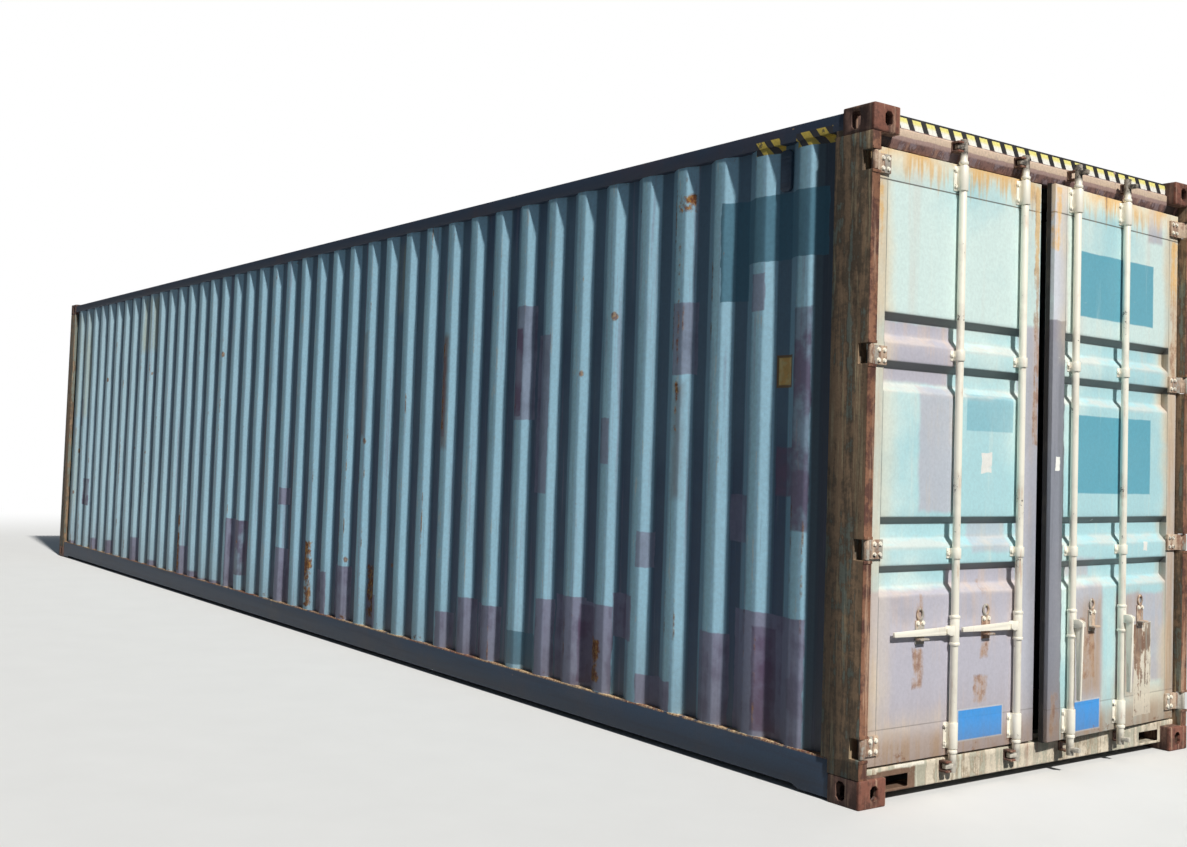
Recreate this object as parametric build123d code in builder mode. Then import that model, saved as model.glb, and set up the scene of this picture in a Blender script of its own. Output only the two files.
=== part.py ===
from build123d import *
import os

# A 40 foot high cube shipping container, in millimetres.
# X runs along its length with the doors at +X, Y across it, Z up.
# The origin is the centre of the rectangle that its corner fittings stand on.

# Overall sizes and the corner fittings
LENGTH = 12192.0
WIDTH = 2438.0
HEIGHT = 2896.0
FITTING_LENGTH = 178.0
FITTING_WIDTH = 162.0
FITTING_HEIGHT = 118.0
FITTING_WALL = 28.0
FITTING_INNER_WALL = 14.0
FITTING_EDGE = 8.0
SLOT_END_OFFSET = 103.5
SLOT_SIDE_OFFSET = 89.5
SLOT_LENGTH = 124.0
SLOT_WIDTH = 63.5
SIDE_HOLE_HEIGHT = 79.0
SIDE_HOLE_WIDTH = 51.0
END_HOLE_HEIGHT = 63.5
END_HOLE_WIDTH = 49.0
HOLE_CORNER = 14.0
CUT_MARGIN = 1.0

# Frame members
REAR_POST_DEPTH = 215.0
REAR_POST_BOX_WIDTH = 89.0
FRONT_POST_DEPTH = 178.0
FRONT_POST_WIDTH = 69.0
POST_INSET = 6.0
POST_WALL = 6.0
POST_LIP_WIDTH = 49.0
TOP_RAIL_WIDTH = 60.0
TOP_RAIL_HEIGHT = 72.0
TOP_RAIL_WALL = 3.0
TOP_RAIL_DROP = 18.0
RAIL_INSET = 5.0
BOTTOM_RAIL_TOP = 178.0
BOTTOM_RAIL_HEIGHT = 150.0
BOTTOM_RAIL_FLANGE = 48.0
BOTTOM_RAIL_WALL = 4.5
RAIL_GUSSET_LENGTH = 210.0
RAIL_GUSSET_DROP = 16.0
HEADER_DROP = 8.0
HEADER_HEIGHT = 148.0
HEADER_SETBACK = 50.0
HEADER_DEPTH = 70.0
HEADER_WALL = 4.0
HEADER_STEP = 10.0
HEADER_STEP_SLOPE = 8.0
HEADER_BAR_HEIGHT = 84.0
HEADER_LIP_HEIGHT = 40.0
HEADER_LIP_DEPTH = 18.0
SILL_TOP = 143.0
SILL_BOTTOM = 38.0
SILL_DEPTH = 108.0
SILL_WALL = 6.0
SILL_POCKET_WIDTH = 170.0
SILL_POCKET_INSET = 22.0
SILL_POCKET_HEIGHT = 54.0
SILL_POCKET_BOTTOM = 50.0
FRONT_RAIL_DEPTH = 60.0
FRONT_RAIL_HEIGHT = 76.0
FRONT_SILL_TOP = 150.0
FRONT_SILL_BOTTOM = 20.0
FRONT_SILL_WALL = 4.0

# Floor and underframe
FLOOR_THICKNESS = 28.0
FLOOR_TOP = 167.0
CROSS_HEIGHT = 105.0
CROSS_FLANGE = 45.0
CROSS_WALL = 4.0
CROSS_PITCH = 402.0
TUNNEL_WIDTH = 1029.0
TUNNEL_BAYS = 7
TUNNEL_WALL = 4.0
TUNNEL_BOTTOM = 30.0
THRESHOLD_THICKNESS = 5.0

# Corrugated sheets
SIDE_PITCH = 278.0
SIDE_FLAT = 72.0
SIDE_SLOPE = 68.0
SIDE_DEPTH = 36.0
SIDE_SHEET = 2.0
SIDE_INSET = 8.0
FRONT_PITCH = 250.0
FRONT_FLAT = 110.0
FRONT_SLOPE = 18.0
FRONT_DEPTH = 45.0
FRONT_SHEET = 2.0
FRONT_INSET = 11.0
ROOF_PITCH = 209.0
ROOF_FLAT = 91.0
ROOF_SLOPE = 13.5
ROOF_DEPTH = 20.0
ROOF_SHEET = 2.0
ROOF_RISE = 10.0
CORNER_PLATE_LENGTH = 300.0
CORNER_PLATE_THICKNESS = 3.0
VENT_WIDTH = 66.0
VENT_HEIGHT = 187.0
VENT_DROP = 116.0
VENT_CORNER = 13.0
VENT_THICKNESS = 20.0

# Door leaves
LEAF_SETBACK = 48.0
LEAF_THICKNESS = 45.0
LEAF_SIDE_GAP = 10.0
LEAF_CENTRE_GAP = 20.0
LEAF_END_GAP = 10.0
LEAF_WALL = 4.0
HINGE_STILE = 85.0
FREE_STILE = 100.0
LEAF_TOP_RAIL = 133.0
LEAF_BOTTOM_RAIL = 147.0
DOOR_SHEET = 2.0
SWAGE_DEPTH = 36.0
SWAGE_STEP = 30.0
SWAGE_RAMP = 36.0
SWAGE_UPPER_DROP = 690.0
SWAGE_LOWER_RISE = 1027.0
SWAGE_PAIR_STEP = 204.0
SWAGE_HEIGHT = 128.0
GASKET_REACH = 4.0
GASKET_WIDTH = 20.0
AJAR_ANGLE = 3.0
REBATE_CLEARANCE = 6.0

# Hinges
HINGE_COUNT = 4
HINGE_TOP_DROP = 72.0
HINGE_BOTTOM_RISE = 88.0
HINGE_SETBACK = 15.0
HINGE_SIDE_INSET = 25.0
HINGE_HEIGHT = 80.0
HINGE_LENGTH = 124.0
HINGE_THICKNESS = 12.0
HINGE_PIN_RADIUS = 7.0
HINGE_KNUCKLE_RADIUS = 13.0
PIN_CLEARANCE = 0.6
PIN_SIDES = 8
KNUCKLE_SIDES = 12
HINGE_CLEARANCE = 3.0
LUG_THICKNESS = 12.0
LUG_PROUD = 4.0
NOTCH_DEPTH = 55.0

# Locking gear
ROD_RADIUS = 17.0
ROD_SETBACK = 25.0
ROD_SHARES = (0.522, 0.135)
ROD_END_TOP = 38.0
ROD_END_BOTTOM = 28.0
ROD_CLEARANCE = 0.6
GUIDE_WALL = 4.0
STRAP_SIDES = 12
GUIDE_RISE = 46.0
GUIDE_HEIGHT = 44.0
GUIDE_FLANGE = 34.0
BRACKET_HEIGHT = 110.0
BRACKET_TOP_DROP = 65.0
BRACKET_BOTTOM_RISE = 87.0
CAM_REACH = 48.0
CAM_WIDTH = 26.0
CAM_THICKNESS = 20.0
CAM_HEEL = 16.0
CAM_TOP_RISE = 60.0
CAM_BOTTOM_DROP = 31.0
KEEPER_CLEARANCE = 6.0
KEEPER_LIP = 8.0
KEEPER_LENGTH = 34.0
KEEPER_BACK = 5.0
HANDLE_RISE = 537.0
HANDLE_PIVOT_REACH = 42.0
HANDLE_TIP_GAP = 53.0
HANDLE_HEIGHT = 36.0
HANDLE_TIP_HEIGHT = 20.0
HANDLE_THICKNESS = 12.0
HANDLE_PIN_RADIUS = 5.0
CHEEK_THICKNESS = 6.0
CHEEK_HEIGHT = 40.0
CHEEK_GAP = 1.0
CATCH_TIP_OFFSET = 186.0
CATCH_WIDTH = 56.0
CATCH_HEIGHT = 100.0
CATCH_BASE = 6.0
CATCH_LEDGE = 8.0
CATCH_CLEARANCE = 6.0
TURNED_OUT_ANGLE = 90.0

# Places worked out from the sizes above
END = LENGTH / 2
SIDE = WIDTH / 2
RAIL_END = END - FITTING_LENGTH
RAIL_SIDE = SIDE - RAIL_INSET
FITTING_INNER_SIDE = SIDE - FITTING_WIDTH
TOP_FITTING_BASE = HEIGHT - FITTING_HEIGHT
TOP_RAIL_TOP = HEIGHT - TOP_RAIL_DROP
TOP_RAIL_BOTTOM = TOP_RAIL_TOP - TOP_RAIL_HEIGHT
ROOF_SIDE = RAIL_SIDE - TOP_RAIL_WIDTH
ROOF_CREST = TOP_RAIL_TOP + ROOF_RISE
ROOF_BASE = ROOF_CREST - ROOF_DEPTH - ROOF_SHEET
HEADER_TOP = HEIGHT - HEADER_DROP
HEADER_BOTTOM = HEADER_TOP - HEADER_HEIGHT
OPENING_SIDE = SIDE - POST_LIP_WIDTH
LEAF_FACE = END - LEAF_SETBACK
LEAF_BACK = LEAF_FACE - LEAF_THICKNESS
LEAF_HINGE_EDGE = OPENING_SIDE - LEAF_SIDE_GAP
LEAF_FREE_EDGE = LEAF_CENTRE_GAP / 2
LEAF_TOP = HEADER_BOTTOM - LEAF_END_GAP
LEAF_BOTTOM = SILL_TOP + LEAF_END_GAP
REBATE_X = LEAF_BACK - REBATE_CLEARANCE
SWAGE_UPPER = LEAF_TOP - SWAGE_UPPER_DROP
SWAGE_LOWER = LEAF_BOTTOM + SWAGE_LOWER_RISE
SWAGE_TOPS = (
    SWAGE_UPPER, SWAGE_UPPER - SWAGE_PAIR_STEP, SWAGE_LOWER, SWAGE_LOWER - SWAGE_PAIR_STEP,
)
GUIDE_LEVELS = (SWAGE_TOPS[1] + GUIDE_RISE, SWAGE_TOPS[3] + GUIDE_RISE)
BRACKET_LEVELS = (LEAF_TOP - BRACKET_TOP_DROP, LEAF_BOTTOM + BRACKET_BOTTOM_RISE)
HINGE_X = END - HINGE_SETBACK
HINGE_Y = SIDE - HINGE_SIDE_INSET
HINGE_LOW = LEAF_BOTTOM + HINGE_BOTTOM_RISE
HINGE_STEP = (LEAF_TOP - HINGE_TOP_DROP - HINGE_LOW) / (HINGE_COUNT - 1)
HINGE_LEVELS = [HINGE_LOW + number * HINGE_STEP for number in range(HINGE_COUNT)]
ROD_X = END - ROD_SETBACK
LEAF_WIDTH = LEAF_HINGE_EDGE - LEAF_FREE_EDGE
ROD_PLACES = [LEAF_FREE_EDGE + share * LEAF_WIDTH for share in ROD_SHARES]
HANDLE_REACH = ROD_PLACES[0] - ROD_PLACES[1] - HANDLE_TIP_GAP
CATCH_REACH = HANDLE_REACH - CATCH_TIP_OFFSET
CAM_TOP_LEVEL = HEADER_BOTTOM + CAM_TOP_RISE
CAM_BOTTOM_LEVEL = SILL_TOP - CAM_BOTTOM_DROP
ROD_TOP = CAM_TOP_LEVEL + ROD_END_TOP
ROD_BOTTOM = CAM_BOTTOM_LEVEL - ROD_END_BOTTOM
HANDLE_LEVEL = LEAF_BOTTOM + HANDLE_RISE
SIDES = (("left", -1), ("right", 1))

os.makedirs("parts", exist_ok=True)


def finish(name, shape):
    """Label a finished piece and write it to its own file."""
    shape.label = name
    export_step(shape, f"parts/{name}.step")


def block(x, y, z, mode=Mode.ADD):
    """A box between two values on each axis, in either order."""
    centre = (sum(x) / 2, sum(y) / 2, sum(z) / 2)
    with Locations(centre):
        Box(abs(x[1] - x[0]), abs(y[1] - y[0]), abs(z[1] - z[0]), mode=mode)


def wave_count(start, end, pitch, flat, slope):
    """How many whole waves fit evenly about the middle between two ends."""
    span = 2 * min(abs(start), abs(end))
    return int((span - flat - 2 * slope) // pitch) + 1


def wave_line(start, end, pitch, flat, slope, depth):
    """Points of a corrugated sheet: distance along it, and depth below its crests."""
    waves = wave_count(start, end, pitch, flat, slope)
    points = [(start, -depth)]
    for number in range(waves):
        crest = (number - (waves - 1) / 2) * pitch
        points.append((crest - flat / 2 - slope, -depth))
        points.append((crest - flat / 2, 0.0))
        points.append((crest + flat / 2, 0.0))
        points.append((crest + flat / 2 + slope, -depth))
    points.append((end, -depth))
    return points


def sheet_outline(points, thickness):
    """Close a line of points into the outline of a sheet of even thickness below it."""
    below = [(along, depth - thickness) for along, depth in reversed(points)]
    return points + below


# Corner fittings: hollow castings with a slot and two side holes each
for level_name, sz in (("bottom", -1), ("top", 1)):
    base = 0.0 if sz < 0 else HEIGHT
    inward = -sz
    hole_level = base + inward * FITTING_HEIGHT / 2
    slot_x = END - SLOT_END_OFFSET
    slot_y = SIDE - SLOT_SIDE_OFFSET
    with BuildPart() as fittings:
        for sx in (1, -1):
            for sy in (-1, 1):
                block(
                    (sx * RAIL_END, sx * END),
                    (sy * FITTING_INNER_SIDE, sy * SIDE),
                    (base, base + inward * FITTING_HEIGHT),
                )
        outer = fittings.edges().filter_by(Axis.Z)
        outer = outer.filter_by(lambda e: abs(e.center().X) > RAIL_END + CUT_MARGIN)
        outer = outer.filter_by(lambda e: abs(e.center().Y) > FITTING_INNER_SIDE + CUT_MARGIN)
        fillet(outer, FITTING_EDGE)
        for sx in (1, -1):
            for sy in (-1, 1):
                block(
                    (sx * (RAIL_END + FITTING_INNER_WALL), sx * (END - FITTING_WALL)),
                    (
                        sy * (FITTING_INNER_SIDE + FITTING_INNER_WALL),
                        sy * (SIDE - FITTING_WALL),
                    ),
                    (
                        base + inward * FITTING_WALL,
                        base + inward * (FITTING_HEIGHT - FITTING_INNER_WALL),
                    ),
                    mode=Mode.SUBTRACT,
                )
        with BuildSketch(Plane.XY.offset(base)):
            with GridLocations(2 * slot_x, 2 * slot_y, 2, 2):
                SlotOverall(SLOT_LENGTH, SLOT_WIDTH)
        extrude(amount=inward * (FITTING_WALL + CUT_MARGIN), mode=Mode.SUBTRACT)
        for sx in (1, -1):
            with BuildSketch(Plane.YZ.offset(sx * END)):
                with Locations((slot_y, hole_level), (-slot_y, hole_level)):
                    end_holes = Rectangle(END_HOLE_WIDTH, END_HOLE_HEIGHT)
                chamfer(end_holes.vertices(), HOLE_CORNER)
            extrude(amount=-sx * (FITTING_WALL + CUT_MARGIN), mode=Mode.SUBTRACT)
        for sy in (1, -1):
            with BuildSketch(Plane.XZ.offset(-sy * SIDE)):
                with Locations((slot_x, hole_level), (-slot_x, hole_level)):
                    side_holes = Rectangle(SIDE_HOLE_WIDTH, SIDE_HOLE_HEIGHT)
                chamfer(side_holes.vertices(), HOLE_CORNER)
            extrude(amount=sy * (FITTING_WALL + CUT_MARGIN), mode=Mode.SUBTRACT)
    finish(f"corner_fittings_{level_name}", fittings.part)

# Rear posts: hollow pressings with a rebate for the door and notches for its hinges
POST_FACE = END - POST_INSET
for side_name, sy in SIDES:
    with BuildPart() as rear_post:
        with BuildSketch(Plane.XY.offset(FITTING_HEIGHT)):
            with BuildLine():
                Polyline(
                    (END - REAR_POST_DEPTH, sy * SIDE),
                    (POST_FACE, sy * SIDE),
                    (POST_FACE, sy * OPENING_SIDE),
                    (REBATE_X, sy * OPENING_SIDE),
                    (REBATE_X, sy * (SIDE - REAR_POST_BOX_WIDTH)),
                    (END - REAR_POST_DEPTH, sy * (SIDE - REAR_POST_BOX_WIDTH)),
                    close=True,
                )
            make_face()
            offset(amount=-POST_WALL, kind=Kind.INTERSECTION, mode=Mode.SUBTRACT)
        extrude(amount=HEIGHT - 2 * FITTING_HEIGHT)
        block(
            (END - REAR_POST_DEPTH, RAIL_END),
            (sy * (SIDE - REAR_POST_BOX_WIDTH), sy * SIDE),
            (FITTING_HEIGHT, BOTTOM_RAIL_TOP),
            mode=Mode.SUBTRACT,
        )
        block(
            (END - REAR_POST_DEPTH, RAIL_END),
            (sy * ROOF_SIDE, sy * RAIL_SIDE),
            (TOP_FITTING_BASE, TOP_RAIL_BOTTOM),
        )
        for level in HINGE_LEVELS:
            reach = HINGE_HEIGHT / 2 + HINGE_CLEARANCE
            outer_reach = reach + LUG_THICKNESS
            notch_x = POST_FACE - NOTCH_DEPTH
            across = (sy * OPENING_SIDE, sy * SIDE)
            block(
                (notch_x, END),
                (sy * (OPENING_SIDE - CUT_MARGIN), sy * (SIDE + CUT_MARGIN)),
                (level - outer_reach, level + outer_reach),
                mode=Mode.SUBTRACT,
            )
            block(
                (notch_x - POST_WALL, notch_x),
                across,
                (level - outer_reach, level + outer_reach),
            )
            for bottom in (level - outer_reach, level + reach):
                lug = (bottom, bottom + LUG_THICKNESS)
                block((notch_x, POST_FACE + LUG_PROUD), across, lug)
            with BuildSketch(Plane.XY.offset(level - outer_reach)):
                with Locations((HINGE_X, sy * HINGE_Y)):
                    RegularPolygon(HINGE_PIN_RADIUS + PIN_CLEARANCE, PIN_SIDES, major_radius=False)
            extrude(amount=2 * outer_reach, mode=Mode.SUBTRACT)
    finish(f"rear_post_{side_name}", rear_post.part)

# Front posts: hollow pressings at the blind end
for side_name, sy in SIDES:
    with BuildPart() as front_post:
        with BuildSketch(Plane.XY.offset(FITTING_HEIGHT)):
            with BuildLine():
                Polyline(
                    (-POST_FACE, sy * SIDE),
                    (-END + FRONT_POST_DEPTH, sy * SIDE),
                    (-END + FRONT_POST_DEPTH, sy * (SIDE - FRONT_POST_WIDTH / 2)),
                    (-END + FRONT_POST_DEPTH / 2, sy * (SIDE - FRONT_POST_WIDTH)),
                    (-POST_FACE, sy * (SIDE - FRONT_POST_WIDTH)),
                    close=True,
                )
            make_face()
            offset(amount=-POST_WALL, kind=Kind.INTERSECTION, mode=Mode.SUBTRACT)
        extrude(amount=HEIGHT - 2 * FITTING_HEIGHT)
    finish(f"front_post_{side_name}", front_post.part)

# Top side rails: box tubes between the top fittings
for side_name, sy in SIDES:
    with BuildPart() as top_rail:
        with BuildSketch(Plane.YZ.offset(-RAIL_END)):
            centre_y = sy * (RAIL_SIDE - TOP_RAIL_WIDTH / 2)
            with Locations((centre_y, TOP_RAIL_TOP - TOP_RAIL_HEIGHT / 2)):
                Rectangle(TOP_RAIL_WIDTH, TOP_RAIL_HEIGHT)
            offset(amount=-TOP_RAIL_WALL, kind=Kind.INTERSECTION, mode=Mode.SUBTRACT)
        extrude(amount=2 * RAIL_END)
    finish(f"top_side_rail_{side_name}", top_rail.part)

# Bottom side rails: channels that open inwards, deeper beside the fittings
for side_name, sy in SIDES:
    with BuildPart() as bottom_rail:
        rail_bottom = BOTTOM_RAIL_TOP - BOTTOM_RAIL_HEIGHT
        inner = sy * (RAIL_SIDE - BOTTOM_RAIL_FLANGE)
        web = sy * (RAIL_SIDE - BOTTOM_RAIL_WALL)
        with BuildSketch(Plane.YZ.offset(-RAIL_END)):
            with BuildLine():
                Polyline(
                    (inner, BOTTOM_RAIL_TOP),
                    (sy * RAIL_SIDE, BOTTOM_RAIL_TOP),
                    (sy * RAIL_SIDE, rail_bottom),
                    (inner, rail_bottom),
                    (inner, rail_bottom + BOTTOM_RAIL_WALL),
                    (web, rail_bottom + BOTTOM_RAIL_WALL),
                    (web, BOTTOM_RAIL_TOP - BOTTOM_RAIL_WALL),
                    (inner, BOTTOM_RAIL_TOP - BOTTOM_RAIL_WALL),
                    close=True,
                )
            make_face()
        extrude(amount=2 * RAIL_END)
        for sx in (-1, 1):
            with BuildSketch(Plane.XZ.offset(-sy * RAIL_SIDE)):
                with BuildLine():
                    Polyline(
                        (sx * RAIL_END, rail_bottom),
                        (sx * (RAIL_END - RAIL_GUSSET_LENGTH), rail_bottom),
                        (sx * (RAIL_END - 0.8 * RAIL_GUSSET_LENGTH), rail_bottom - RAIL_GUSSET_DROP),
                        (sx * RAIL_END, rail_bottom - RAIL_GUSSET_DROP),
                        close=True,
                    )
                make_face()
            extrude(amount=sy * BOTTOM_RAIL_WALL)
    finish(f"bottom_side_rail_{side_name}", bottom_rail.part)

# The door header: a stepped box section with a plate that reaches back to the roof
HEADER_FACE = END - HEADER_SETBACK
HEADER_BACK = HEADER_FACE - HEADER_DEPTH
with BuildPart() as door_header:
    with BuildSketch(Plane.XZ.offset(OPENING_SIDE)):
        with BuildLine():
            bar_top = HEADER_BOTTOM + HEADER_BAR_HEIGHT
            Polyline(
                (HEADER_BACK, HEADER_TOP),
                (HEADER_FACE - HEADER_STEP, HEADER_TOP),
                (HEADER_FACE - HEADER_STEP, bar_top + HEADER_STEP_SLOPE),
                (HEADER_FACE, bar_top),
                (HEADER_FACE, HEADER_BOTTOM + HEADER_LIP_HEIGHT),
                (HEADER_FACE - HEADER_LIP_DEPTH, HEADER_BOTTOM),
                (HEADER_BACK, HEADER_BOTTOM),
                close=True,
            )
        make_face()
        offset(amount=-HEADER_WALL, kind=Kind.INTERSECTION, mode=Mode.SUBTRACT)
    extrude(amount=-2 * OPENING_SIDE)
    block(
        (RAIL_END, HEADER_BACK),
        (-FITTING_INNER_SIDE, FITTING_INNER_SIDE),
        (ROOF_BASE, ROOF_BASE + HEADER_WALL),
    )
    for sy in (-1, 1):
        block(
            (RAIL_END, END),
            (sy * FITTING_INNER_SIDE, sy * SIDE),
            (TOP_FITTING_BASE, HEIGHT),
            mode=Mode.SUBTRACT,
        )
        block(
            (RAIL_END, REBATE_X),
            (sy * (SIDE - REAR_POST_BOX_WIDTH), sy * SIDE),
            (HEADER_BOTTOM, TOP_FITTING_BASE),
            mode=Mode.SUBTRACT,
        )
finish("door_header", door_header.part)

# The door sill: a channel that opens inwards, with a pocket at each end
SILL_BACK = HEADER_FACE - SILL_DEPTH
with BuildPart() as door_sill:
    with BuildSketch(Plane.XZ.offset(OPENING_SIDE)):
        with BuildLine():
            Polyline(
                (SILL_BACK, SILL_TOP),
                (HEADER_FACE, SILL_TOP),
                (HEADER_FACE, SILL_BOTTOM),
                (SILL_BACK, SILL_BOTTOM),
                (SILL_BACK, SILL_BOTTOM + SILL_WALL),
                (HEADER_FACE - SILL_WALL, SILL_BOTTOM + SILL_WALL),
                (HEADER_FACE - SILL_WALL, SILL_TOP - SILL_WALL),
                (SILL_BACK, SILL_TOP - SILL_WALL),
                close=True,
            )
        make_face()
    extrude(amount=-2 * OPENING_SIDE)
    for sy in (-1, 1):
        block(
            (RAIL_END, END),
            (sy * FITTING_INNER_SIDE, sy * SIDE),
            (0.0, FITTING_HEIGHT),
            mode=Mode.SUBTRACT,
        )
        block(
            (RAIL_END, REBATE_X),
            (sy * (SIDE - REAR_POST_BOX_WIDTH), sy * SIDE),
            (FITTING_HEIGHT, SILL_TOP),
            mode=Mode.SUBTRACT,
        )
        pocket_outer = FITTING_INNER_SIDE - SILL_POCKET_INSET
        block(
            (HEADER_FACE - SILL_WALL - CUT_MARGIN, HEADER_FACE + CUT_MARGIN),
            (sy * (pocket_outer - SILL_POCKET_WIDTH), sy * pocket_outer),
            (SILL_POCKET_BOTTOM, SILL_POCKET_BOTTOM + SILL_POCKET_HEIGHT),
            mode=Mode.SUBTRACT,
        )
finish("door_sill", door_sill.part)

# The front top rail: a box section with a plate that reaches back to the roof
FRONT_FACE = -END + RAIL_INSET
with BuildPart() as front_top_rail:
    with BuildSketch(Plane.XZ.offset(FITTING_INNER_SIDE)):
        with Locations((FRONT_FACE + FRONT_RAIL_DEPTH / 2, ROOF_BASE - FRONT_RAIL_HEIGHT / 2)):
            Rectangle(FRONT_RAIL_DEPTH, FRONT_RAIL_HEIGHT)
        offset(amount=-HEADER_WALL, kind=Kind.INTERSECTION, mode=Mode.SUBTRACT)
    extrude(amount=-2 * FITTING_INNER_SIDE)
    block(
        (-RAIL_END, FRONT_FACE),
        (-FITTING_INNER_SIDE, FITTING_INNER_SIDE),
        (ROOF_BASE, ROOF_BASE + HEADER_WALL),
    )
finish("front_top_rail", front_top_rail.part)

# The front sill: a box section, cut away over the gooseneck tunnel
FLOOR_BOTTOM = FLOOR_TOP - FLOOR_THICKNESS
TUNNEL_CLEAR_TOP = FLOOR_BOTTOM - TUNNEL_WALL
FRONT_POST_INNER = SIDE - FRONT_POST_WIDTH
with BuildPart() as front_sill:
    with BuildSketch(Plane.XZ.offset(FRONT_POST_INNER)):
        with Locations(
            (FRONT_FACE + FRONT_RAIL_DEPTH / 2, (FRONT_SILL_TOP + FRONT_SILL_BOTTOM) / 2)
        ):
            Rectangle(FRONT_RAIL_DEPTH, FRONT_SILL_TOP - FRONT_SILL_BOTTOM)
        offset(amount=-FRONT_SILL_WALL, kind=Kind.INTERSECTION, mode=Mode.SUBTRACT)
    extrude(amount=-2 * FRONT_POST_INNER)
    for sy in (-1, 1):
        block(
            (-END, -RAIL_END),
            (sy * FITTING_INNER_SIDE, sy * SIDE),
            (0.0, FITTING_HEIGHT),
            mode=Mode.SUBTRACT,
        )
    block(
        (-END, -RAIL_END),
        (-TUNNEL_WIDTH / 2, TUNNEL_WIDTH / 2),
        (0.0, TUNNEL_CLEAR_TOP),
        mode=Mode.SUBTRACT,
    )
finish("front_sill", front_sill.part)

# The corrugated side panels: waves along X, standing on the bottom rails
side_line = wave_line(
    -END + FRONT_POST_DEPTH, END - REAR_POST_DEPTH,
    SIDE_PITCH, SIDE_FLAT, SIDE_SLOPE, SIDE_DEPTH,
)
side_outline = sheet_outline(side_line, SIDE_SHEET)
for side_name, sy in SIDES:
    with BuildPart() as side_panel:
        with BuildSketch(Plane.XY.offset(BOTTOM_RAIL_TOP)):
            with BuildLine():
                crest = SIDE - SIDE_INSET
                points = [(along, sy * (crest + depth)) for along, depth in side_outline]
                Polyline(*points, close=True)
            make_face()
        extrude(amount=TOP_RAIL_BOTTOM - BOTTOM_RAIL_TOP)
    finish(f"side_panel_{side_name}", side_panel.part)

# The corrugated front panel: upright waves between the front posts
front_line = wave_line(
    -FRONT_POST_INNER, FRONT_POST_INNER,
    FRONT_PITCH, FRONT_FLAT, FRONT_SLOPE, FRONT_DEPTH,
)
with BuildPart() as front_panel:
    with BuildSketch(Plane.XY.offset(FRONT_SILL_TOP)):
        with BuildLine():
            crest = END - FRONT_INSET
            outline = sheet_outline(front_line, FRONT_SHEET)
            Polyline(*[(-crest - depth, along) for along, depth in outline], close=True)
        make_face()
    extrude(amount=ROOF_BASE - FRONT_RAIL_HEIGHT - FRONT_SILL_TOP)
    for sy in (-1, 1):
        block(
            (-END, -RAIL_END),
            (sy * FITTING_INNER_SIDE, sy * SIDE),
            (TOP_FITTING_BASE, HEIGHT),
            mode=Mode.SUBTRACT,
        )
finish("front_panel", front_panel.part)

# The corrugated roof: waves along X, set in between the top side rails
roof_line = wave_line(-RAIL_END, RAIL_END, ROOF_PITCH, ROOF_FLAT, ROOF_SLOPE, ROOF_DEPTH)
with BuildPart() as roof_panel:
    with BuildSketch(Plane.XZ.offset(ROOF_SIDE)):
        with BuildLine():
            outline = sheet_outline(roof_line, ROOF_SHEET)
            Polyline(*[(along, ROOF_CREST + depth) for along, depth in outline], close=True)
        make_face()
    extrude(amount=-2 * ROOF_SIDE)
finish("roof_panel", roof_panel.part)

# Plates that shield the roof beside the four top fittings
with BuildPart() as roof_plates:
    for sx in (-1, 1):
        for sy in (-1, 1):
            block(
                (sx * (RAIL_END - CORNER_PLATE_LENGTH), sx * RAIL_END),
                (sy * FITTING_INNER_SIDE, sy * ROOF_SIDE),
                (ROOF_CREST, ROOF_CREST + CORNER_PLATE_THICKNESS),
            )
finish("roof_corner_plates", roof_plates.part)

# Ventilators: flat boxes in the troughs of the side panels, near the doors
side_ends = (-END + FRONT_POST_DEPTH, END - REAR_POST_DEPTH)
side_waves = wave_count(*side_ends, SIDE_PITCH, SIDE_FLAT, SIDE_SLOPE)
VENT_X = SIDE_PITCH * (side_waves / 2 - 1)
VENT_LEVEL = TOP_RAIL_BOTTOM - VENT_DROP
TROUGH_FACE = SIDE - SIDE_INSET - SIDE_DEPTH
with BuildPart() as ventilators:
    for sy in (-1, 1):
        with BuildSketch(Plane.XZ.offset(-sy * TROUGH_FACE)):
            with Locations((VENT_X, VENT_LEVEL)):
                Rectangle(VENT_WIDTH, VENT_HEIGHT)
        extrude(amount=-sy * VENT_THICKNESS)
    chamfer(ventilators.edges().filter_by(Axis.Y), VENT_CORNER)
finish("ventilators", ventilators.part)

# The plywood floor, narrower between the posts at each end
FLOOR_SIDE = RAIL_SIDE - BOTTOM_RAIL_FLANGE
REAR_POST_INNER = SIDE - REAR_POST_BOX_WIDTH
FLOOR_FRONT = FRONT_FACE + FRONT_RAIL_DEPTH
FLOOR_REAR = SILL_BACK
with BuildPart() as floor_boards:
    with BuildSketch(Plane.XY.offset(FLOOR_BOTTOM)):
        with BuildLine():
            right = [
                (FLOOR_FRONT, FRONT_POST_INNER),
                (-END + FRONT_POST_DEPTH, FRONT_POST_INNER),
                (-END + FRONT_POST_DEPTH, FLOOR_SIDE),
                (END - REAR_POST_DEPTH, FLOOR_SIDE),
                (END - REAR_POST_DEPTH, REAR_POST_INNER),
                (FLOOR_REAR, REAR_POST_INNER),
            ]
            left = [(x, -y) for x, y in reversed(right)]
            Polyline(*right, *left, close=True)
        make_face()
    extrude(amount=FLOOR_THICKNESS)
finish("floor", floor_boards.part)

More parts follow.
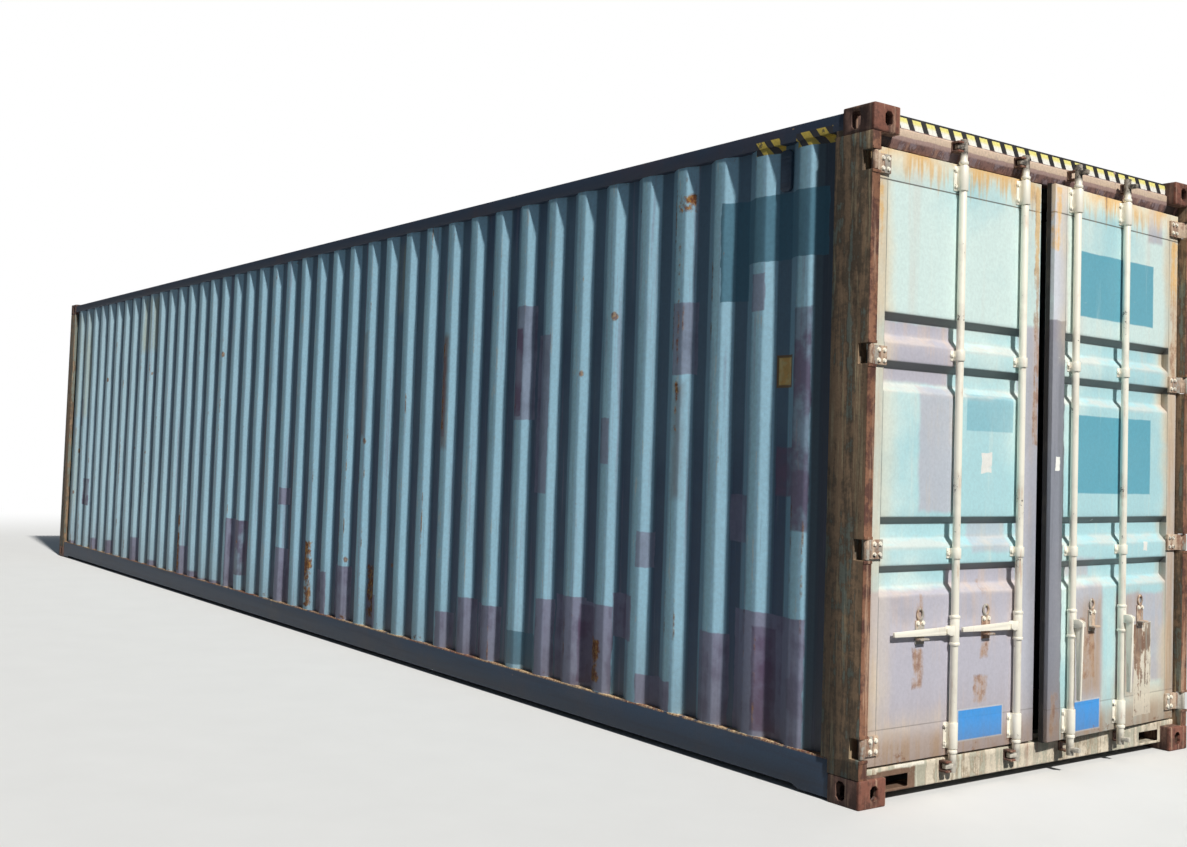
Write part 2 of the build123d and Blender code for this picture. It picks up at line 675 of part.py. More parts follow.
# The threshold: a bent plate on the sill that covers the end of the floor
THRESHOLD_FRONT = REBATE_X
with BuildPart() as threshold:
    with BuildSketch(Plane.XZ.offset(REAR_POST_INNER)):
        with BuildLine():
            Polyline(
                (FLOOR_REAR, SILL_TOP),
                (FLOOR_REAR, FLOOR_TOP),
                (THRESHOLD_FRONT, FLOOR_TOP),
                (THRESHOLD_FRONT, SILL_TOP),
                (THRESHOLD_FRONT - THRESHOLD_THICKNESS, SILL_TOP),
                (THRESHOLD_FRONT - THRESHOLD_THICKNESS, FLOOR_TOP - THRESHOLD_THICKNESS),
                (FLOOR_REAR + THRESHOLD_THICKNESS, FLOOR_TOP - THRESHOLD_THICKNESS),
                (FLOOR_REAR + THRESHOLD_THICKNESS, SILL_TOP),
                close=True,
            )
        make_face()
    extrude(amount=-2 * REAR_POST_INNER)
finish("threshold_plate", threshold.part)

# Cross members under the floor, cut short beside the gooseneck tunnel
TUNNEL_OUTER = TUNNEL_WIDTH / 2 + TUNNEL_WALL
CROSS_REACH = RAIL_SIDE - BOTTOM_RAIL_WALL
CROSS_BOTTOM = FLOOR_BOTTOM - CROSS_HEIGHT
cross_count = int((SILL_BACK - FLOOR_FRONT) // CROSS_PITCH)
cross_places = [(n - (cross_count - 1) / 2) * CROSS_PITCH for n in range(cross_count)]
TUNNEL_END = cross_places[TUNNEL_BAYS]
with BuildPart() as cross_members:
    for x in cross_places:
        with BuildSketch(Plane.XZ.offset(CROSS_REACH)):
            with BuildLine():
                Polyline(
                    (x, CROSS_BOTTOM),
                    (x, FLOOR_BOTTOM),
                    (x + CROSS_FLANGE, FLOOR_BOTTOM),
                    (x + CROSS_FLANGE, FLOOR_BOTTOM - CROSS_WALL),
                    (x + CROSS_WALL, FLOOR_BOTTOM - CROSS_WALL),
                    (x + CROSS_WALL, CROSS_BOTTOM + CROSS_WALL),
                    (x + CROSS_FLANGE, CROSS_BOTTOM + CROSS_WALL),
                    (x + CROSS_FLANGE, CROSS_BOTTOM),
                    close=True,
                )
            make_face()
        extrude(amount=-2 * CROSS_REACH)
    block(
        (-END, TUNNEL_END),
        (-TUNNEL_OUTER, TUNNEL_OUTER),
        (0.0, FLOOR_BOTTOM),
        mode=Mode.SUBTRACT,
    )
finish("cross_members", cross_members.part)

# The gooseneck tunnel: a top plate with two side walls and a closing plate
with BuildPart() as tunnel:
    with BuildSketch(Plane.YZ.offset(FLOOR_FRONT)):
        with BuildLine():
            half = TUNNEL_WIDTH / 2
            Polyline(
                (-TUNNEL_OUTER, TUNNEL_BOTTOM),
                (-TUNNEL_OUTER, FLOOR_BOTTOM),
                (TUNNEL_OUTER, FLOOR_BOTTOM),
                (TUNNEL_OUTER, TUNNEL_BOTTOM),
                (half, TUNNEL_BOTTOM),
                (half, TUNNEL_CLEAR_TOP),
                (-half, TUNNEL_CLEAR_TOP),
                (-half, TUNNEL_BOTTOM),
                close=True,
            )
        make_face()
    extrude(amount=TUNNEL_END - FLOOR_FRONT)
    block(
        (TUNNEL_END - TUNNEL_WALL, TUNNEL_END),
        (-TUNNEL_OUTER, TUNNEL_OUTER),
        (TUNNEL_BOTTOM, FLOOR_BOTTOM),
    )
finish("gooseneck_tunnel", tunnel.part)

# Keepers on the header and the sill: two lips around each cam, open outwards
with BuildPart() as keepers:
    for level in (CAM_TOP_LEVEL, CAM_BOTTOM_LEVEL):
        for side_name, sy in SIDES:
            for place in ROD_PLACES:
                start = place + ROD_RADIUS + KEEPER_CLEARANCE
                across = (sy * start, sy * (start + KEEPER_LENGTH))
                near = level - CAM_THICKNESS / 2 - KEEPER_CLEARANCE
                far = level + CAM_THICKNESS / 2 + KEEPER_CLEARANCE
                low = near - KEEPER_LIP
                high = far + KEEPER_LIP
                lip_end = ROD_X + CAM_WIDTH / 2 + KEEPER_BACK
                block((HEADER_FACE, HEADER_FACE + KEEPER_BACK), across, (low, high))
                block((HEADER_FACE, lip_end), across, (low, near))
                block((HEADER_FACE, lip_end), across, (far, high))
finish("cam_keepers", keepers.part)


def place_leaf(side_name, shape):
    """Turn what the right leaf carries to where the leaf stands ajar."""
    if side_name == "left":
        return shape
    return shape.rotate(Axis((HINGE_X, HINGE_Y, 0), (0, 0, 1)), AJAR_ANGLE)


def place_rod(side_name, place, shape):
    """Turn out what a right rod carries; the left rods stay locked."""
    if side_name == "left":
        return shape
    return shape.rotate(Axis((ROD_X, place, 0), (0, 0, 1)), -TURNED_OUT_ANGLE)


def place_handle(side_name, place, shape):
    """Let a right handle hang from its pivot; the left handles stay level."""
    if side_name == "left":
        return shape
    pivot = (ROD_X, place + HANDLE_PIVOT_REACH, HANDLE_LEVEL)
    return shape.rotate(Axis(pivot, (1, 0, 0)), -90)


# The two leaves, each with its sheet, seal, hinges, guides and catches
leaf_height = LEAF_TOP - LEAF_BOTTOM
sheet_low = LEAF_BOTTOM + LEAF_BOTTOM_RAIL
sheet_high = LEAF_TOP - LEAF_TOP_RAIL
sheet_free = LEAF_FREE_EDGE + FREE_STILE
sheet_hinge = LEAF_HINGE_EDGE - HINGE_STILE
for side_name, sy in SIDES:
    leaf_centre = (sy * (LEAF_HINGE_EDGE + LEAF_FREE_EDGE) / 2, (LEAF_TOP + LEAF_BOTTOM) / 2)
    sheet_centre = (sy * (sheet_free + sheet_hinge) / 2, (sheet_low + sheet_high) / 2)
    sheet_width = sheet_hinge - sheet_free
    sheet_height = sheet_high - sheet_low

    with BuildPart() as leaf_frame:
        with BuildSketch(Plane.YZ.offset(LEAF_BACK)):
            with Locations(leaf_centre):
                Rectangle(LEAF_WIDTH, leaf_height)
            with Locations(sheet_centre):
                Rectangle(sheet_width, sheet_height, mode=Mode.SUBTRACT)
        extrude(amount=LEAF_THICKNESS)
        with BuildSketch(Plane.YZ.offset(LEAF_BACK)):
            with Locations(leaf_centre):
                Rectangle(LEAF_WIDTH - 2 * LEAF_WALL, leaf_height - 2 * LEAF_WALL)
            with Locations(sheet_centre):
                Rectangle(
                    sheet_width + 2 * LEAF_WALL, sheet_height + 2 * LEAF_WALL, mode=Mode.SUBTRACT
                )
        extrude(amount=LEAF_THICKNESS - LEAF_WALL, mode=Mode.SUBTRACT)
    finish(f"{side_name}_door_frame", place_leaf(side_name, leaf_frame.part))

    with BuildPart() as leaf_sheet:
        line = [(sheet_low, 0.0)]
        for top in reversed(SWAGE_TOPS):
            line.append((top - SWAGE_HEIGHT, 0.0))
            line.append((top - SWAGE_HEIGHT + SWAGE_RAMP, -SWAGE_DEPTH))
            line.append((top - SWAGE_STEP, -SWAGE_DEPTH))
            line.append((top, 0.0))
        line.append((sheet_high, 0.0))
        with BuildSketch(Plane.XZ.offset(-sy * sheet_free)):
            with BuildLine():
                outline = sheet_outline(line, DOOR_SHEET)
                Polyline(*[(LEAF_FACE + depth, along) for along, depth in outline], close=True)
            make_face()
        extrude(amount=-sy * sheet_width)
    finish(f"{side_name}_door_panel", place_leaf(side_name, leaf_sheet.part))

    with BuildPart() as gasket:
        seal_back = LEAF_BACK + GASKET_REACH
        with BuildSketch(Plane.YZ.offset(seal_back)):
            with Locations(leaf_centre):
                Rectangle(LEAF_WIDTH + 2 * GASKET_REACH, leaf_height + 2 * GASKET_REACH)
                Rectangle(LEAF_WIDTH, leaf_height, mode=Mode.SUBTRACT)
        extrude(amount=GASKET_WIDTH)
    finish(f"{side_name}_door_gasket", place_leaf(side_name, gasket.part))

    with BuildPart() as hinges:
        for level in HINGE_LEVELS:
            with BuildSketch(Plane.XY.offset(level - HINGE_HEIGHT / 2)):
                with BuildLine():
                    half = HINGE_THICKNESS / 2
                    Polyline(
                        (LEAF_FACE, sy * (HINGE_Y - HINGE_LENGTH)),
                        (LEAF_FACE + HINGE_THICKNESS, sy * (HINGE_Y - HINGE_LENGTH)),
                        (LEAF_FACE + HINGE_THICKNESS, sy * (LEAF_HINGE_EDGE - HINGE_THICKNESS)),
                        (HINGE_X + half, sy * (HINGE_Y - half)),
                        (HINGE_X - half, sy * (HINGE_Y + half)),
                        (LEAF_FACE, sy * LEAF_HINGE_EDGE),
                        close=True,
                    )
                make_face()
                with Locations((HINGE_X, sy * HINGE_Y)):
                    RegularPolygon(HINGE_KNUCKLE_RADIUS, KNUCKLE_SIDES)
            extrude(amount=HINGE_HEIGHT)
            pin_reach = HINGE_HEIGHT / 2 + HINGE_CLEARANCE + LUG_THICKNESS
            with BuildSketch(Plane.XY.offset(level - pin_reach)):
                with Locations((HINGE_X, sy * HINGE_Y)):
                    RegularPolygon(HINGE_PIN_RADIUS, PIN_SIDES, major_radius=False)
            extrude(amount=2 * pin_reach)
    finish(f"{side_name}_door_hinges", place_leaf(side_name, hinges.part))

    with BuildPart() as guides:
        bore_radius = ROD_RADIUS + ROD_CLEARANCE
        strap_radius = bore_radius + GUIDE_WALL
        for place in ROD_PLACES:
            spans = [(level, GUIDE_HEIGHT) for level in GUIDE_LEVELS]
            spans += [(level, BRACKET_HEIGHT) for level in BRACKET_LEVELS]
            for level, height in spans:
                with BuildSketch(Plane.XY.offset(level - height / 2)):
                    with Locations(((LEAF_FACE + ROD_X) / 2, sy * place)):
                        Rectangle(ROD_X - LEAF_FACE, 2 * strap_radius)
                    with Locations((LEAF_FACE + GUIDE_WALL / 2, sy * place)):
                        Rectangle(GUIDE_WALL, 2 * strap_radius + GUIDE_FLANGE)
                    with Locations((ROD_X, sy * place)):
                        RegularPolygon(strap_radius, STRAP_SIDES, major_radius=False)
                        RegularPolygon(
                            bore_radius, STRAP_SIDES, major_radius=False, mode=Mode.SUBTRACT
                        )
                extrude(amount=height)
    finish(f"{side_name}_rod_guides", place_leaf(side_name, guides.part))

    with BuildPart() as catches:
        for place in ROD_PLACES:
            centre = place + CATCH_REACH
            across = (sy * (centre - CATCH_WIDTH / 2), sy * (centre + CATCH_WIDTH / 2))
            ledge_top = HANDLE_LEVEL - HANDLE_HEIGHT / 2 - CATCH_CLEARANCE
            upright = (HANDLE_LEVEL - CATCH_HEIGHT / 2, HANDLE_LEVEL + CATCH_HEIGHT / 2)
            block((LEAF_FACE, LEAF_FACE + CATCH_BASE), across, upright)
            ledge_end = ROD_X + HANDLE_THICKNESS / 2 + CATCH_CLEARANCE
            block((LEAF_FACE, ledge_end), across, (ledge_top - CATCH_LEDGE, ledge_top))
    finish(f"{side_name}_handle_catches", place_leaf(side_name, catches.part))

# Locking rods, each with a cam near both ends and a fork that holds its handle
for side_name, sy in SIDES:
    for rod_name, place in zip(("outer", "inner"), ROD_PLACES):
        axis_y = sy * place
        pivot_y = sy * (place + HANDLE_PIVOT_REACH)
        with BuildPart() as shaft:
            with BuildSketch(Plane.XY.offset(ROD_BOTTOM)):
                with Locations((ROD_X, axis_y)):
                    Circle(ROD_RADIUS)
            extrude(amount=ROD_TOP - ROD_BOTTOM)

        with BuildPart() as cams:
            for level in (CAM_TOP_LEVEL, CAM_BOTTOM_LEVEL):
                with BuildSketch(Plane.XY.offset(level - CAM_THICKNESS / 2)):
                    with BuildLine():
                        nose = sy * (place + CAM_REACH)
                        Polyline(
                            (ROD_X - CAM_HEEL, axis_y),
                            (ROD_X - CAM_WIDTH / 2, nose),
                            (ROD_X + CAM_WIDTH / 4, nose),
                            (ROD_X + CAM_HEEL, axis_y),
                            close=True,
                        )
                    make_face()
                    with Locations((ROD_X, axis_y)):
                        Circle(ROD_RADIUS, mode=Mode.SUBTRACT)
                extrude(amount=CAM_THICKNESS)

        with BuildPart() as fork:
            for direction in (-1, 1):
                cheek_x = ROD_X + direction * (HANDLE_THICKNESS / 2 + CHEEK_GAP)
                with BuildSketch(Plane.YZ.offset(cheek_x)):
                    with BuildLine():
                        Polyline(
                            (axis_y, HANDLE_LEVEL - CHEEK_HEIGHT / 2),
                            (pivot_y, HANDLE_LEVEL - CHEEK_HEIGHT / 2),
                            (pivot_y + sy * CHEEK_HEIGHT / 2, HANDLE_LEVEL - CHEEK_HEIGHT / 4),
                            (pivot_y + sy * CHEEK_HEIGHT / 2, HANDLE_LEVEL + CHEEK_HEIGHT / 4),
                            (pivot_y, HANDLE_LEVEL + CHEEK_HEIGHT / 2),
                            (axis_y, HANDLE_LEVEL + CHEEK_HEIGHT / 2),
                            close=True,
                        )
                    make_face()
                extrude(amount=direction * CHEEK_THICKNESS)
            with BuildSketch(Plane.XY.offset(HANDLE_LEVEL - CHEEK_HEIGHT)):
                with Locations((ROD_X, axis_y)):
                    Circle(ROD_RADIUS)
            extrude(amount=2 * CHEEK_HEIGHT, mode=Mode.SUBTRACT)
            pin_reach = HANDLE_THICKNESS / 2 + CHEEK_GAP + CHEEK_THICKNESS
            with BuildSketch(Plane.YZ.offset(ROD_X - pin_reach)):
                with Locations((pivot_y, HANDLE_LEVEL)):
                    RegularPolygon(HANDLE_PIN_RADIUS, PIN_SIDES, major_radius=False)
            extrude(amount=2 * pin_reach)
        pieces = shaft.part.solids() + cams.part.solids() + fork.part.solids()
        turned = place_rod(side_name, place, Compound(pieces))
        finish(f"{side_name}_rod_{rod_name}", place_leaf(side_name, turned))

        with BuildPart() as handle:
            tip_y = sy * (place + HANDLE_REACH)
            heel_y = sy * (place + HANDLE_PIVOT_REACH - HANDLE_HEIGHT / 2)
            with BuildSketch(Plane.YZ.offset(ROD_X - HANDLE_THICKNESS / 2)):
                with BuildLine():
                    Polyline(
                        (heel_y, HANDLE_LEVEL + HANDLE_HEIGHT / 4),
                        (heel_y, HANDLE_LEVEL - HANDLE_HEIGHT / 4),
                        (pivot_y, HANDLE_LEVEL - HANDLE_HEIGHT / 2),
                        (tip_y, HANDLE_LEVEL - HANDLE_TIP_HEIGHT / 2),
                        (tip_y, HANDLE_LEVEL + HANDLE_TIP_HEIGHT / 2),
                        (pivot_y, HANDLE_LEVEL + HANDLE_HEIGHT / 2),
                        close=True,
                    )
                make_face()
                with Locations((pivot_y, HANDLE_LEVEL)):
                    hole_radius = HANDLE_PIN_RADIUS + PIN_CLEARANCE
                    RegularPolygon(
                        hole_radius, PIN_SIDES, major_radius=False, mode=Mode.SUBTRACT
                    )
            extrude(amount=HANDLE_THICKNESS)
        hung = place_handle(side_name, place, handle.part)
        turned = place_rod(side_name, place, hung)
        finish(f"{side_name}_handle_{rod_name}", place_leaf(side_name, turned))
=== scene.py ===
"""A worn steel shipping container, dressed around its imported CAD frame.

Lengths are metres in the part's own frame: X runs along the box with the doors
at +X, Y runs across it, Z is up, and Z = 0 is the ground under the fittings.
"""

import logging
import math
from dataclasses import dataclass
from enum import Enum
from typing import Any, Callable, Iterable, Optional, Sequence, Union

import bpy
from mathutils import Matrix, Vector


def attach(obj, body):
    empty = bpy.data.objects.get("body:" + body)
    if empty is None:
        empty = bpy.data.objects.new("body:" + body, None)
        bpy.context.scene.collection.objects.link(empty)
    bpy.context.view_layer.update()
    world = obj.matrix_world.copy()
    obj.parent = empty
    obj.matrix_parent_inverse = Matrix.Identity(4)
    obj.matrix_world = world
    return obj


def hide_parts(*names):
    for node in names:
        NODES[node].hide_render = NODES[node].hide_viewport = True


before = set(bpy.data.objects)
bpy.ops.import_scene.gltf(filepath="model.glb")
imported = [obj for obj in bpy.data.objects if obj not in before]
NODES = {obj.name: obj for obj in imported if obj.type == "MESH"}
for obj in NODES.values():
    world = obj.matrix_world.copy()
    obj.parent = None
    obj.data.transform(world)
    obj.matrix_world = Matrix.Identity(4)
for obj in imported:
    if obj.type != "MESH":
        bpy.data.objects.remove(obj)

LOG = logging.getLogger("container")
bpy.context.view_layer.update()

Colour = tuple[float, float, float]
Point = tuple[float, float, float]
INNER = "inner"
WHITE: Colour = (1.0, 1.0, 1.0)
NEAR = 0.0005
SHARP = 35.0
EDGE_SMOOTH = 40.0
SHEET_SMOOTH = 28.0
GEAR_ROUND = 0.0012
HINGE_AXIS = (6.081, 1.194, 0.0)
SWAGES = (2.040, 1.836, 1.180, 0.976)
AJAR = 3.0


def paint(red: int, green: int, blue: int) -> Colour:
    """Turn an eight-bit display colour into the linear colour a shader needs.

    Args:
        red: Red, 0 to 255.
        green: Green, 0 to 255.
        blue: Blue, 0 to 255.

    Returns:
        The linear colour.
    """
    def linear(value: int) -> float:
        """One display channel made linear."""
        share = value / 255
        return share / 12.92 if share <= 0.04045 else ((share + 0.055) / 1.055) ** 2.4

    return linear(red), linear(green), linear(blue)


class Side(Enum):
    """The two long sides, and so the two leaves, of the container."""

    LEFT = "left"
    RIGHT = "right"

    @property
    def sign(self) -> int:
        """The sign of Y on this side."""
        return -1 if self is Side.LEFT else 1


# ---------------------------------------------------------------- shader maths


class Signal:
    """A number that varies over a surface, with the usual arithmetic."""

    def __init__(self, book: "Book", socket: bpy.types.NodeSocket) -> None:
        """Wrap one output socket of the book's node tree."""
        self.book = book
        self.socket = socket

    def _maths(self, operation: str, *values: Any) -> "Signal":
        """Add one Math node on these values."""
        node = self.book.node("ShaderNodeMath", {"operation": operation}, dict(enumerate(values)))
        return Signal(self.book, node.outputs[0])

    def __add__(self, other: Any) -> "Signal":
        """Sum."""
        return self._maths("ADD", self, other)

    def __radd__(self, other: Any) -> "Signal":
        """Reflected sum."""
        return self._maths("ADD", other, self)

    def __sub__(self, other: Any) -> "Signal":
        """Difference."""
        return self._maths("SUBTRACT", self, other)

    def __rsub__(self, other: Any) -> "Signal":
        """Reflected difference."""
        return self._maths("SUBTRACT", other, self)

    def __mul__(self, other: Any) -> "Signal":
        """Product."""
        return self._maths("MULTIPLY", self, other)

    def __rmul__(self, other: Any) -> "Signal":
        """Reflected product."""
        return self._maths("MULTIPLY", other, self)

    def __truediv__(self, other: Any) -> "Signal":
        """Quotient."""
        return self._maths("DIVIDE", self, other)

    def __pow__(self, other: Any) -> "Signal":
        """Power."""
        return self._maths("POWER", self, other)

    def __abs__(self) -> "Signal":
        """Size without sign."""
        return self._maths("ABSOLUTE", self)

    def floor(self) -> "Signal":
        """The whole number below."""
        return self._maths("FLOOR", self)

    def part(self) -> "Signal":
        """What is left above the whole number below."""
        return self._maths("FRACT", self)

    def most(self, other: Any) -> "Signal":
        """The larger of two values."""
        return self._maths("MAXIMUM", self, other)


class Nodes:
    """Adds nodes to one tree and feeds their sockets."""

    def __init__(self, tree: bpy.types.NodeTree) -> None:
        """Empty the tree, to start it anew."""
        self.tree = tree
        tree.nodes.clear()

    def node(
        self,
        kind: str,
        settings: Optional[dict[str, Any]] = None,
        inputs: Optional[dict[Union[int, str], Any]] = None,
    ) -> bpy.types.Node:
        """Add a node, set what it is set to, then feed its sockets.

        Args:
            kind: The node's type name.
            settings: Its properties.
            inputs: Values, sockets or signals by socket name or number.

        Returns:
            The new node.
        """
        node = self.tree.nodes.new(kind)
        for key, value in (settings or {}).items():
            setattr(node, key, value)
        for key, value in (inputs or {}).items():
            self.feed(node.inputs[key], value)
        return node

    def signal(
        self, kind: str, settings: dict[str, Any], inputs: dict[Any, Any],
        output: Union[int, str] = 0,
    ) -> Signal:
        """Add a node and take one of its outputs.

        Args:
            kind: The node's type.
            settings: Its properties.
            inputs: Values or links of its sockets.
            output: Which output is taken.

        Returns:
            The output as a signal.
        """
        return Signal(self, self.node(kind, settings, inputs).outputs[output])

    def feed(self, socket: bpy.types.NodeSocket, value: Any) -> None:
        """Link a socket to another one or a signal, or set its constant.

        Args:
            socket: The input.
            value: What it gets.
        """
        if isinstance(value, Signal):
            value = value.socket
        if isinstance(value, bpy.types.NodeSocket):
            self.tree.links.new(value, socket)
        elif isinstance(value, tuple) and len(socket.default_value) == 4:
            socket.default_value = (*value, 1.0)
        else:
            socket.default_value = value


class Book(Nodes):
    """Builds the nodes of one procedural material."""

    def __init__(self, name: str) -> None:
        """Start an empty material with a surface shader and its output.

        Args:
            name: The material's name.
        """
        self.material = bpy.data.materials.new(name)
        self.material.use_nodes = True
        super().__init__(self.material.node_tree)
        self.shader = self.node("ShaderNodeBsdfPrincipled")
        surface = {"Surface": self.shader.outputs[0]}
        self.output = self.node("ShaderNodeOutputMaterial", {}, surface)
        self.position = self.node("ShaderNodeTexCoord").outputs["Object"]

    def turned(self, degrees: float, about: Point) -> bpy.types.NodeSocket:
        """Object coordinates turned about an upright axis.

        Args:
            degrees: How far the pattern turns.
            about: A point on the axis.

        Returns:
            The turned coordinates.
        """
        here = self.node(
            "ShaderNodeVectorMath", {"operation": "SUBTRACT"}, {0: self.position, 1: about}
        )
        turn = self.node(
            "ShaderNodeMapping",
            {"vector_type": "POINT"},
            {"Vector": here.outputs[0], "Rotation": (0.0, 0.0, math.radians(degrees))},
        )
        back = self.node(
            "ShaderNodeVectorMath", {"operation": "ADD"}, {0: turn.outputs[0], 1: about}
        )
        return back.outputs[0]

    def axes(self, place: Any = None) -> tuple[Signal, Signal, Signal]:
        """The X, Y and Z of a place as signals."""
        node = self.node("ShaderNodeSeparateXYZ", {}, {0: place or self.position})
        return tuple(Signal(self, output) for output in node.outputs)

    def vector(self, x: Any, y: Any, z: Any) -> bpy.types.NodeSocket:
        """Three signals joined into one vector."""
        return self.node("ShaderNodeCombineXYZ", {}, {0: x, 1: y, 2: z}).outputs[0]

    def stretched(self, place: Any, scale: Point) -> bpy.types.NodeSocket:
        """A place scaled along each axis.

        Args:
            place: The coordinates.
            scale: The scale on each axis.

        Returns:
            The scaled coordinates.
        """
        node = self.node(
            "ShaderNodeMapping", {"vector_type": "POINT"}, {"Vector": place, "Scale": scale}
        )
        return node.outputs[0]

    def noise(
        self, scale: float, place: Any = None, detail: float = 4.0,
        rough: float = 0.55, stretch: Optional[Point] = None,
    ) -> Signal:
        """Smooth noise around a half.

        Args:
            scale: Waves to the metre.
            place: Coordinates, the object's own unless given.
            detail: How many finer layers are added.
            rough: How strong the finer layers are.
            stretch: Scale along each axis before the noise.

        Returns:
            The noise as a signal.
        """
        place = place or self.position
        if stretch:
            place = self.stretched(place, stretch)
        return self.signal(
            "ShaderNodeTexNoise",
            {"noise_dimensions": "3D"},
            {"Vector": place, "Scale": scale, "Detail": detail, "Roughness": rough},
        )

    def streaks(
        self, across: float, up: float, place: Any = None, detail: float = 4.0,
        rough: float = 0.55,
    ) -> Signal:
        """Noise with so many waves to the metre across and so many up.

        Args:
            across: Waves to the metre along the ground.
            up: Waves to the metre upwards.
            place: Coordinates, the object's own unless given.
            detail: How many finer layers are added.
            rough: How strong the finer layers are.

        Returns:
            The noise as a signal.
        """
        return self.noise(1.0, place, detail, rough, (across, across, up))

    def inner(self) -> Signal:
        """1 on the faces that a sheet turns inwards and 0 elsewhere."""
        node = self.node("ShaderNodeAttribute", {"attribute_name": INNER})
        return Signal(self, node.outputs["Fac"])

    def rise(self, value: Any, low: float, high: float) -> Signal:
        """A smooth step from 0 at low to 1 at high; low may be the larger.

        Args:
            value: The signal.
            low: Where it gives 0.
            high: Where it gives 1.

        Returns:
            The step.
        """
        node = self.node(
            "ShaderNodeMapRange",
            {"interpolation_type": "SMOOTHSTEP", "clamp": True},
            {0: value, 1: low, 2: high, 3: 0.0, 4: 1.0},
        )
        return Signal(self, node.outputs[0])

    def between(self, value: Signal, low: float, high: float, soft: float) -> Signal:
        """1 between two values and 0 outside them, with soft ends.

        Args:
            value: The signal.
            low: The lower value.
            high: The higher value.
            soft: How far each end fades.

        Returns:
            The mask.
        """
        half = (high - low) / 2
        off = abs(value - (low + half))
        return self.rise(off, half + soft, half - soft)

    def mix(self, under: Any, over: Any, share: Any) -> bpy.types.NodeSocket:
        """Lay one colour over another by a share.

        Args:
            under: The colour below.
            over: The colour on top.
            share: How much of it shows.

        Returns:
            The mixed colour.
        """
        node = self.node(
            "ShaderNodeMix",
            {"data_type": "RGBA", "blend_type": "MIX", "clamp_factor": True},
            {0: share, 6: under, 7: over},
        )
        return node.outputs[2]

    def shade(self, under: Any, value: Any, amount: float) -> bpy.types.NodeSocket:
        """Multiply a colour by a grey that runs from 1 - amount to 1 + amount / 2.

        Args:
            under: The colour.
            value: The signal, around a half.
            amount: How strong the shading is.

        Returns:
            The shaded colour.
        """
        grey = self.node(
            "ShaderNodeMapRange",
            {"clamp": True},
            {0: value, 1: 0.3, 2: 0.7, 3: 1 - amount, 4: 1 + amount / 2},
        ).outputs[0]
        tint = self.vector(grey, grey, grey)
        node = self.node(
            "ShaderNodeMix",
            {"data_type": "RGBA", "blend_type": "MULTIPLY"},
            {0: 1.0, 6: under, 7: tint},
        )
        return node.outputs[2]

    def bump(self, *layers: tuple[Signal, float]) -> bpy.types.NodeSocket:
        """Chain bump nodes, each a height signal and how deep it is in metres.

        Args:
            *layers: Each a height and a depth.

        Returns:
            The normal.
        """
        normal = None
        for height, depth in layers:
            inputs = {"Height": height, "Strength": 1.0, "Distance": depth}
            if normal is not None:
                inputs["Normal"] = normal
            normal = self.node("ShaderNodeBump", {}, inputs).outputs[0]
        return normal

    def finish(
        self, colour: Any, roughness: Any, metallic: float = 0.0, normal: Any = None
    ) -> bpy.types.Material:
        """Feed the surface shader and hand over the material.

        Args:
            colour: Its colour.
            roughness: Its roughness.
            metallic: How much metal shows.
            normal: Its normal, the mesh's own unless given.

        Returns:
            The material.
        """
        values = {"Base Color": colour, "Roughness": roughness, "Metallic": metallic}
        if normal is not None:
            values["Normal"] = normal
        for key, value in values.items():
            self.feed(self.shader.inputs[key], value)
        return self.material


# ------------------------------------------------------------------- finishes

RUST_DARK = paint(84, 50, 38)
RUST = paint(136, 80, 52)
OCHRE = paint(206, 156, 84)
DIRT = paint(112, 104, 98)


def inside_coat(book: "Book", streak: Signal, blotch: Signal) -> bpy.types.NodeSocket:
    """Plain grey-green paint inside the box, scuffed by cargo and spotted with rust.

    Args:
        book: The material being built.
        streak: Upright streaks.
        blotch: Small blotches.

    Returns:
        The inner colour.
    """
    coat = book.mix(paint(182, 198, 196), paint(146, 160, 162), book.rise(streak, 0.46, 0.74))
    scuffs = book.streaks(4.0, 16.0, detail=5.0, rough=0.7)
    coat = book.mix(coat, paint(212, 214, 208), book.rise(scuffs, 0.56, 0.64) * 0.5)
    return book.mix(coat, RUST, book.rise(blotch, 0.72, 0.80) * 0.8)


@dataclass(frozen=True)
class Patch:
    """A patch of another paint: its span along the wall and up it, in metres."""

    start: float
    end: float
    low: float
    high: float
    strength: float = 1.0


def grown(spans: Iterable[Patch], by: float) -> tuple[Patch, ...]:
    """The same patches, wider and higher by so much on each side."""
    return tuple(Patch(p.start - by, p.end + by, p.low - by, p.high + by) for p in spans)


def patches(*spans: tuple[float, ...]) -> tuple[Patch, ...]:
    """Patches from their start, end, low, high and, where it isn't 1, strength."""
    return tuple(Patch(*span) for span in spans)


def patch_mask(
    book: Book, along: Signal, up: Signal, patches: Sequence[Patch], soft: float
) -> Signal:
    """Where any of these patches lies.

    Args:
        book: The material being built.
        along: Distance along the wall.
        up: Height.
        patches: The patches.
        soft: Half the width of a patch's edge.

    Returns:
        1 on a patch and 0 off it.
    """
    total: Optional[Signal] = None
    for patch in patches:
        across = abs(along - (patch.start + patch.end) / 2) - (patch.end - patch.start) / 2
        height = abs(up - (patch.low + patch.high) / 2) - (patch.high - patch.low) / 2
        mask = book.rise(across.most(height), soft, -soft)
        if patch.strength < 1.0:
            mask = mask * patch.strength
        total = mask if total is None else total.most(mask)
    return total


